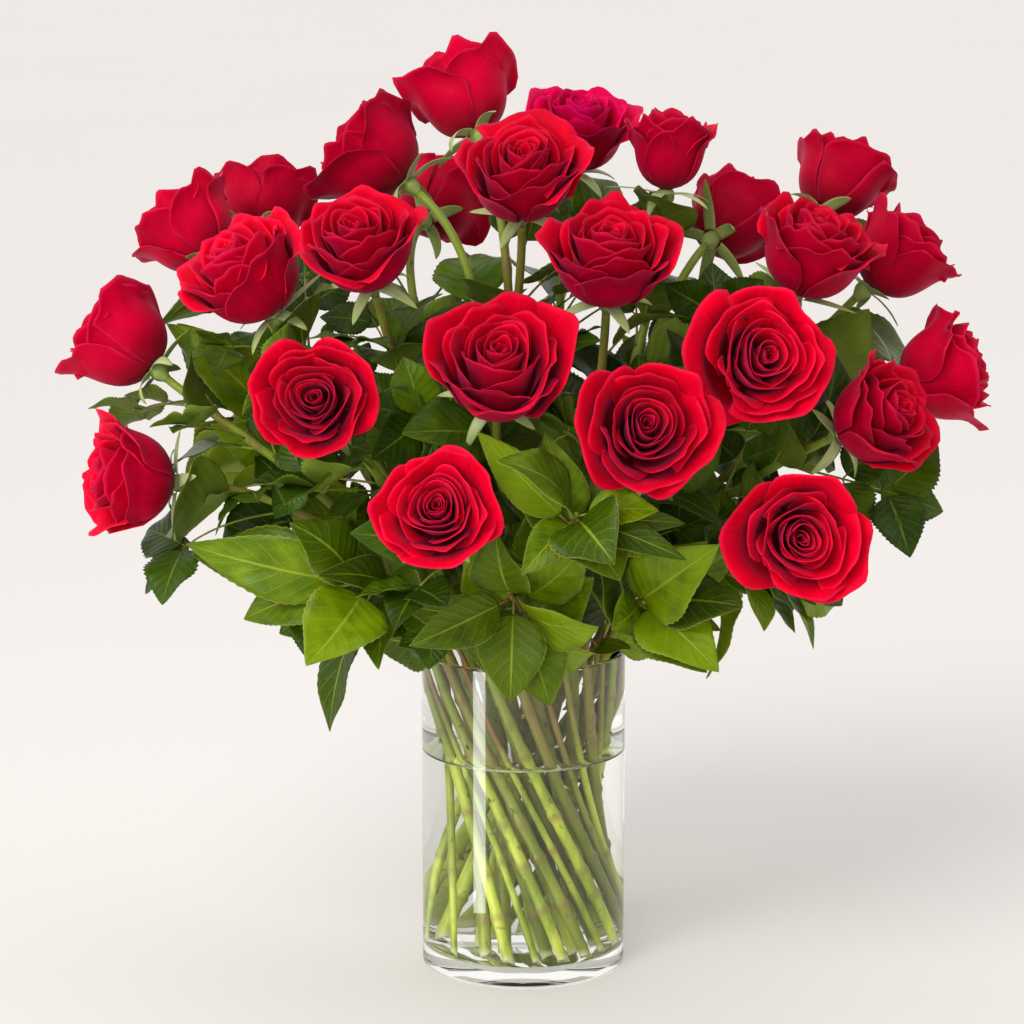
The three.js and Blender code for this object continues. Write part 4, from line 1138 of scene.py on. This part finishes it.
def add_clear(name, node, profile, materials, is_wet):
    """A clear piece turned about Z, with the second material where water meets glass."""
    shape = Shape()
    points, faces = lathe(profile, 144)
    shape.add(points, faces, 0, (0, 0, 0, 0))
    for k, face in enumerate(faces):
        r, z = np.linalg.norm(points[face, :2], axis=1).mean(), points[face, 2].mean()
        shape.finishes[k] = int(is_wet(r, z))
    piece = add_piece(name, shape, materials, node)
    piece.visible_shadow = False
    piece.visible_diffuse = False


# Where water wets the glass, light bends only by the ratio of the two indices, and the water's own side
# doesn't bend it again.
GLASS_INDEX, WATER_INDEX = 1.5, 1.33
add_clear("glass_vase", "vase", glass_profile(),
          [glass_finish("clear_glass", GLASS_INDEX),
           glass_finish("wetted_glass", GLASS_INDEX / WATER_INDEX)],
          lambda r, z: GLASS["base"] - 0.01 < z < WATER_LEVEL + 1.5
          and r < GLASS["radius"] - 0.5 * GLASS["wall"])
add_clear("vase_water", "water", water_profile(),
          [water_finish("water", WATER_INDEX), water_finish("water_side", 1.0)],
          lambda r, z: z < WATER_LEVEL - 0.5)


# ------------------------ floor, light and camera
def add_floor():
    mesh = bpy.data.meshes.new("floor")
    points, faces = lathe([(0, 0), (2, 0), (8, 0), (40, 0), (0, -0.01)], 64)
    mesh.from_pydata(points.tolist(), [], [np.asarray(face).tolist()[::-1] for face in faces])
    mesh.materials.append(floor_finish())
    floor = linked("floor", mesh)


def add_light(name, kind, at, aim, energy, color=(1, 1, 1), reflections=True, diffuse=True, **settings):
    data = bpy.data.lights.new(name, kind)
    data.energy, data.color = energy, color
    for setting, value in settings.items():
        setattr(data, setting, value)
    lamp = linked(name, data)
    lamp.location = at
    lamp.rotation_euler = (Vector(aim) - Vector(at)).to_track_quat("-Z", "Y").to_euler()
    lamp.visible_camera = False
    lamp.visible_diffuse, lamp.visible_glossy, lamp.visible_transmission = diffuse, reflections, reflections


add_floor()
add_light("sun", "SUN", (-1.5, -2.9, 3.3), (0, 0, 0.3), 1.22, (1, 0.985, 0.97), angle=math.radians(34))
add_light("left_box", "AREA", (-1.7, -1.7, 1.5), (0, 0, 0.35), 5, (1, 0.99, 0.975), shape="RECTANGLE",
          size=0.9, size_y=1.5, spread=math.radians(80))
add_light("low_window", "AREA", (-0.121, -0.133, 0.095), (-0.027, -0.057, 0.095), 0.055, shape="RECTANGLE",
          size=0.04, size_y=0.17, spread=math.radians(80), diffuse=False)
add_light("front_box", "AREA", (-0.35, -1.9, 0.62), (0, 0, 0.42), 1.0, (1, 0.99, 0.975), shape="RECTANGLE",
          size=0.7, size_y=0.7, spread=math.radians(50), reflections=False)

# A pale room, darker on the viewer's side, so that the glass shows the room behind it and not a haze.
world = bpy.data.worlds.new("studio")
world.use_nodes = True
nodes, links = world.node_tree.nodes, world.node_tree.links
ways = nodes.new("ShaderNodeSeparateXYZ")
links.new(nodes.new("ShaderNodeTexCoord").outputs["Generated"], ways.inputs["Vector"])
dim = nodes.new("ShaderNodeMapRange")
links.new(ways.outputs["Y"], dim.inputs["Value"])
for socket, value in (("From Min", -0.7), ("From Max", 0.1), ("To Min", 0.36), ("To Max", 1.15)):
    dim.inputs[socket].default_value = value
links.new(dim.outputs["Result"], nodes["Background"].inputs["Strength"])
nodes["Background"].inputs["Color"].default_value = (0.90, 0.885, 0.875, 1)
bpy.context.scene.world = world
bpy.context.scene.view_settings.view_transform = "Standard"

camera = linked("camera", bpy.data.cameras.new("camera"))
camera.data.sensor_width = 36
camera.data.lens = 139.4
camera.location = (VIEWER * MM).tolist()
camera.rotation_euler = (math.radians(90 - VIEWER_SLOPE), 0, 0)
bpy.context.scene.camera = camera
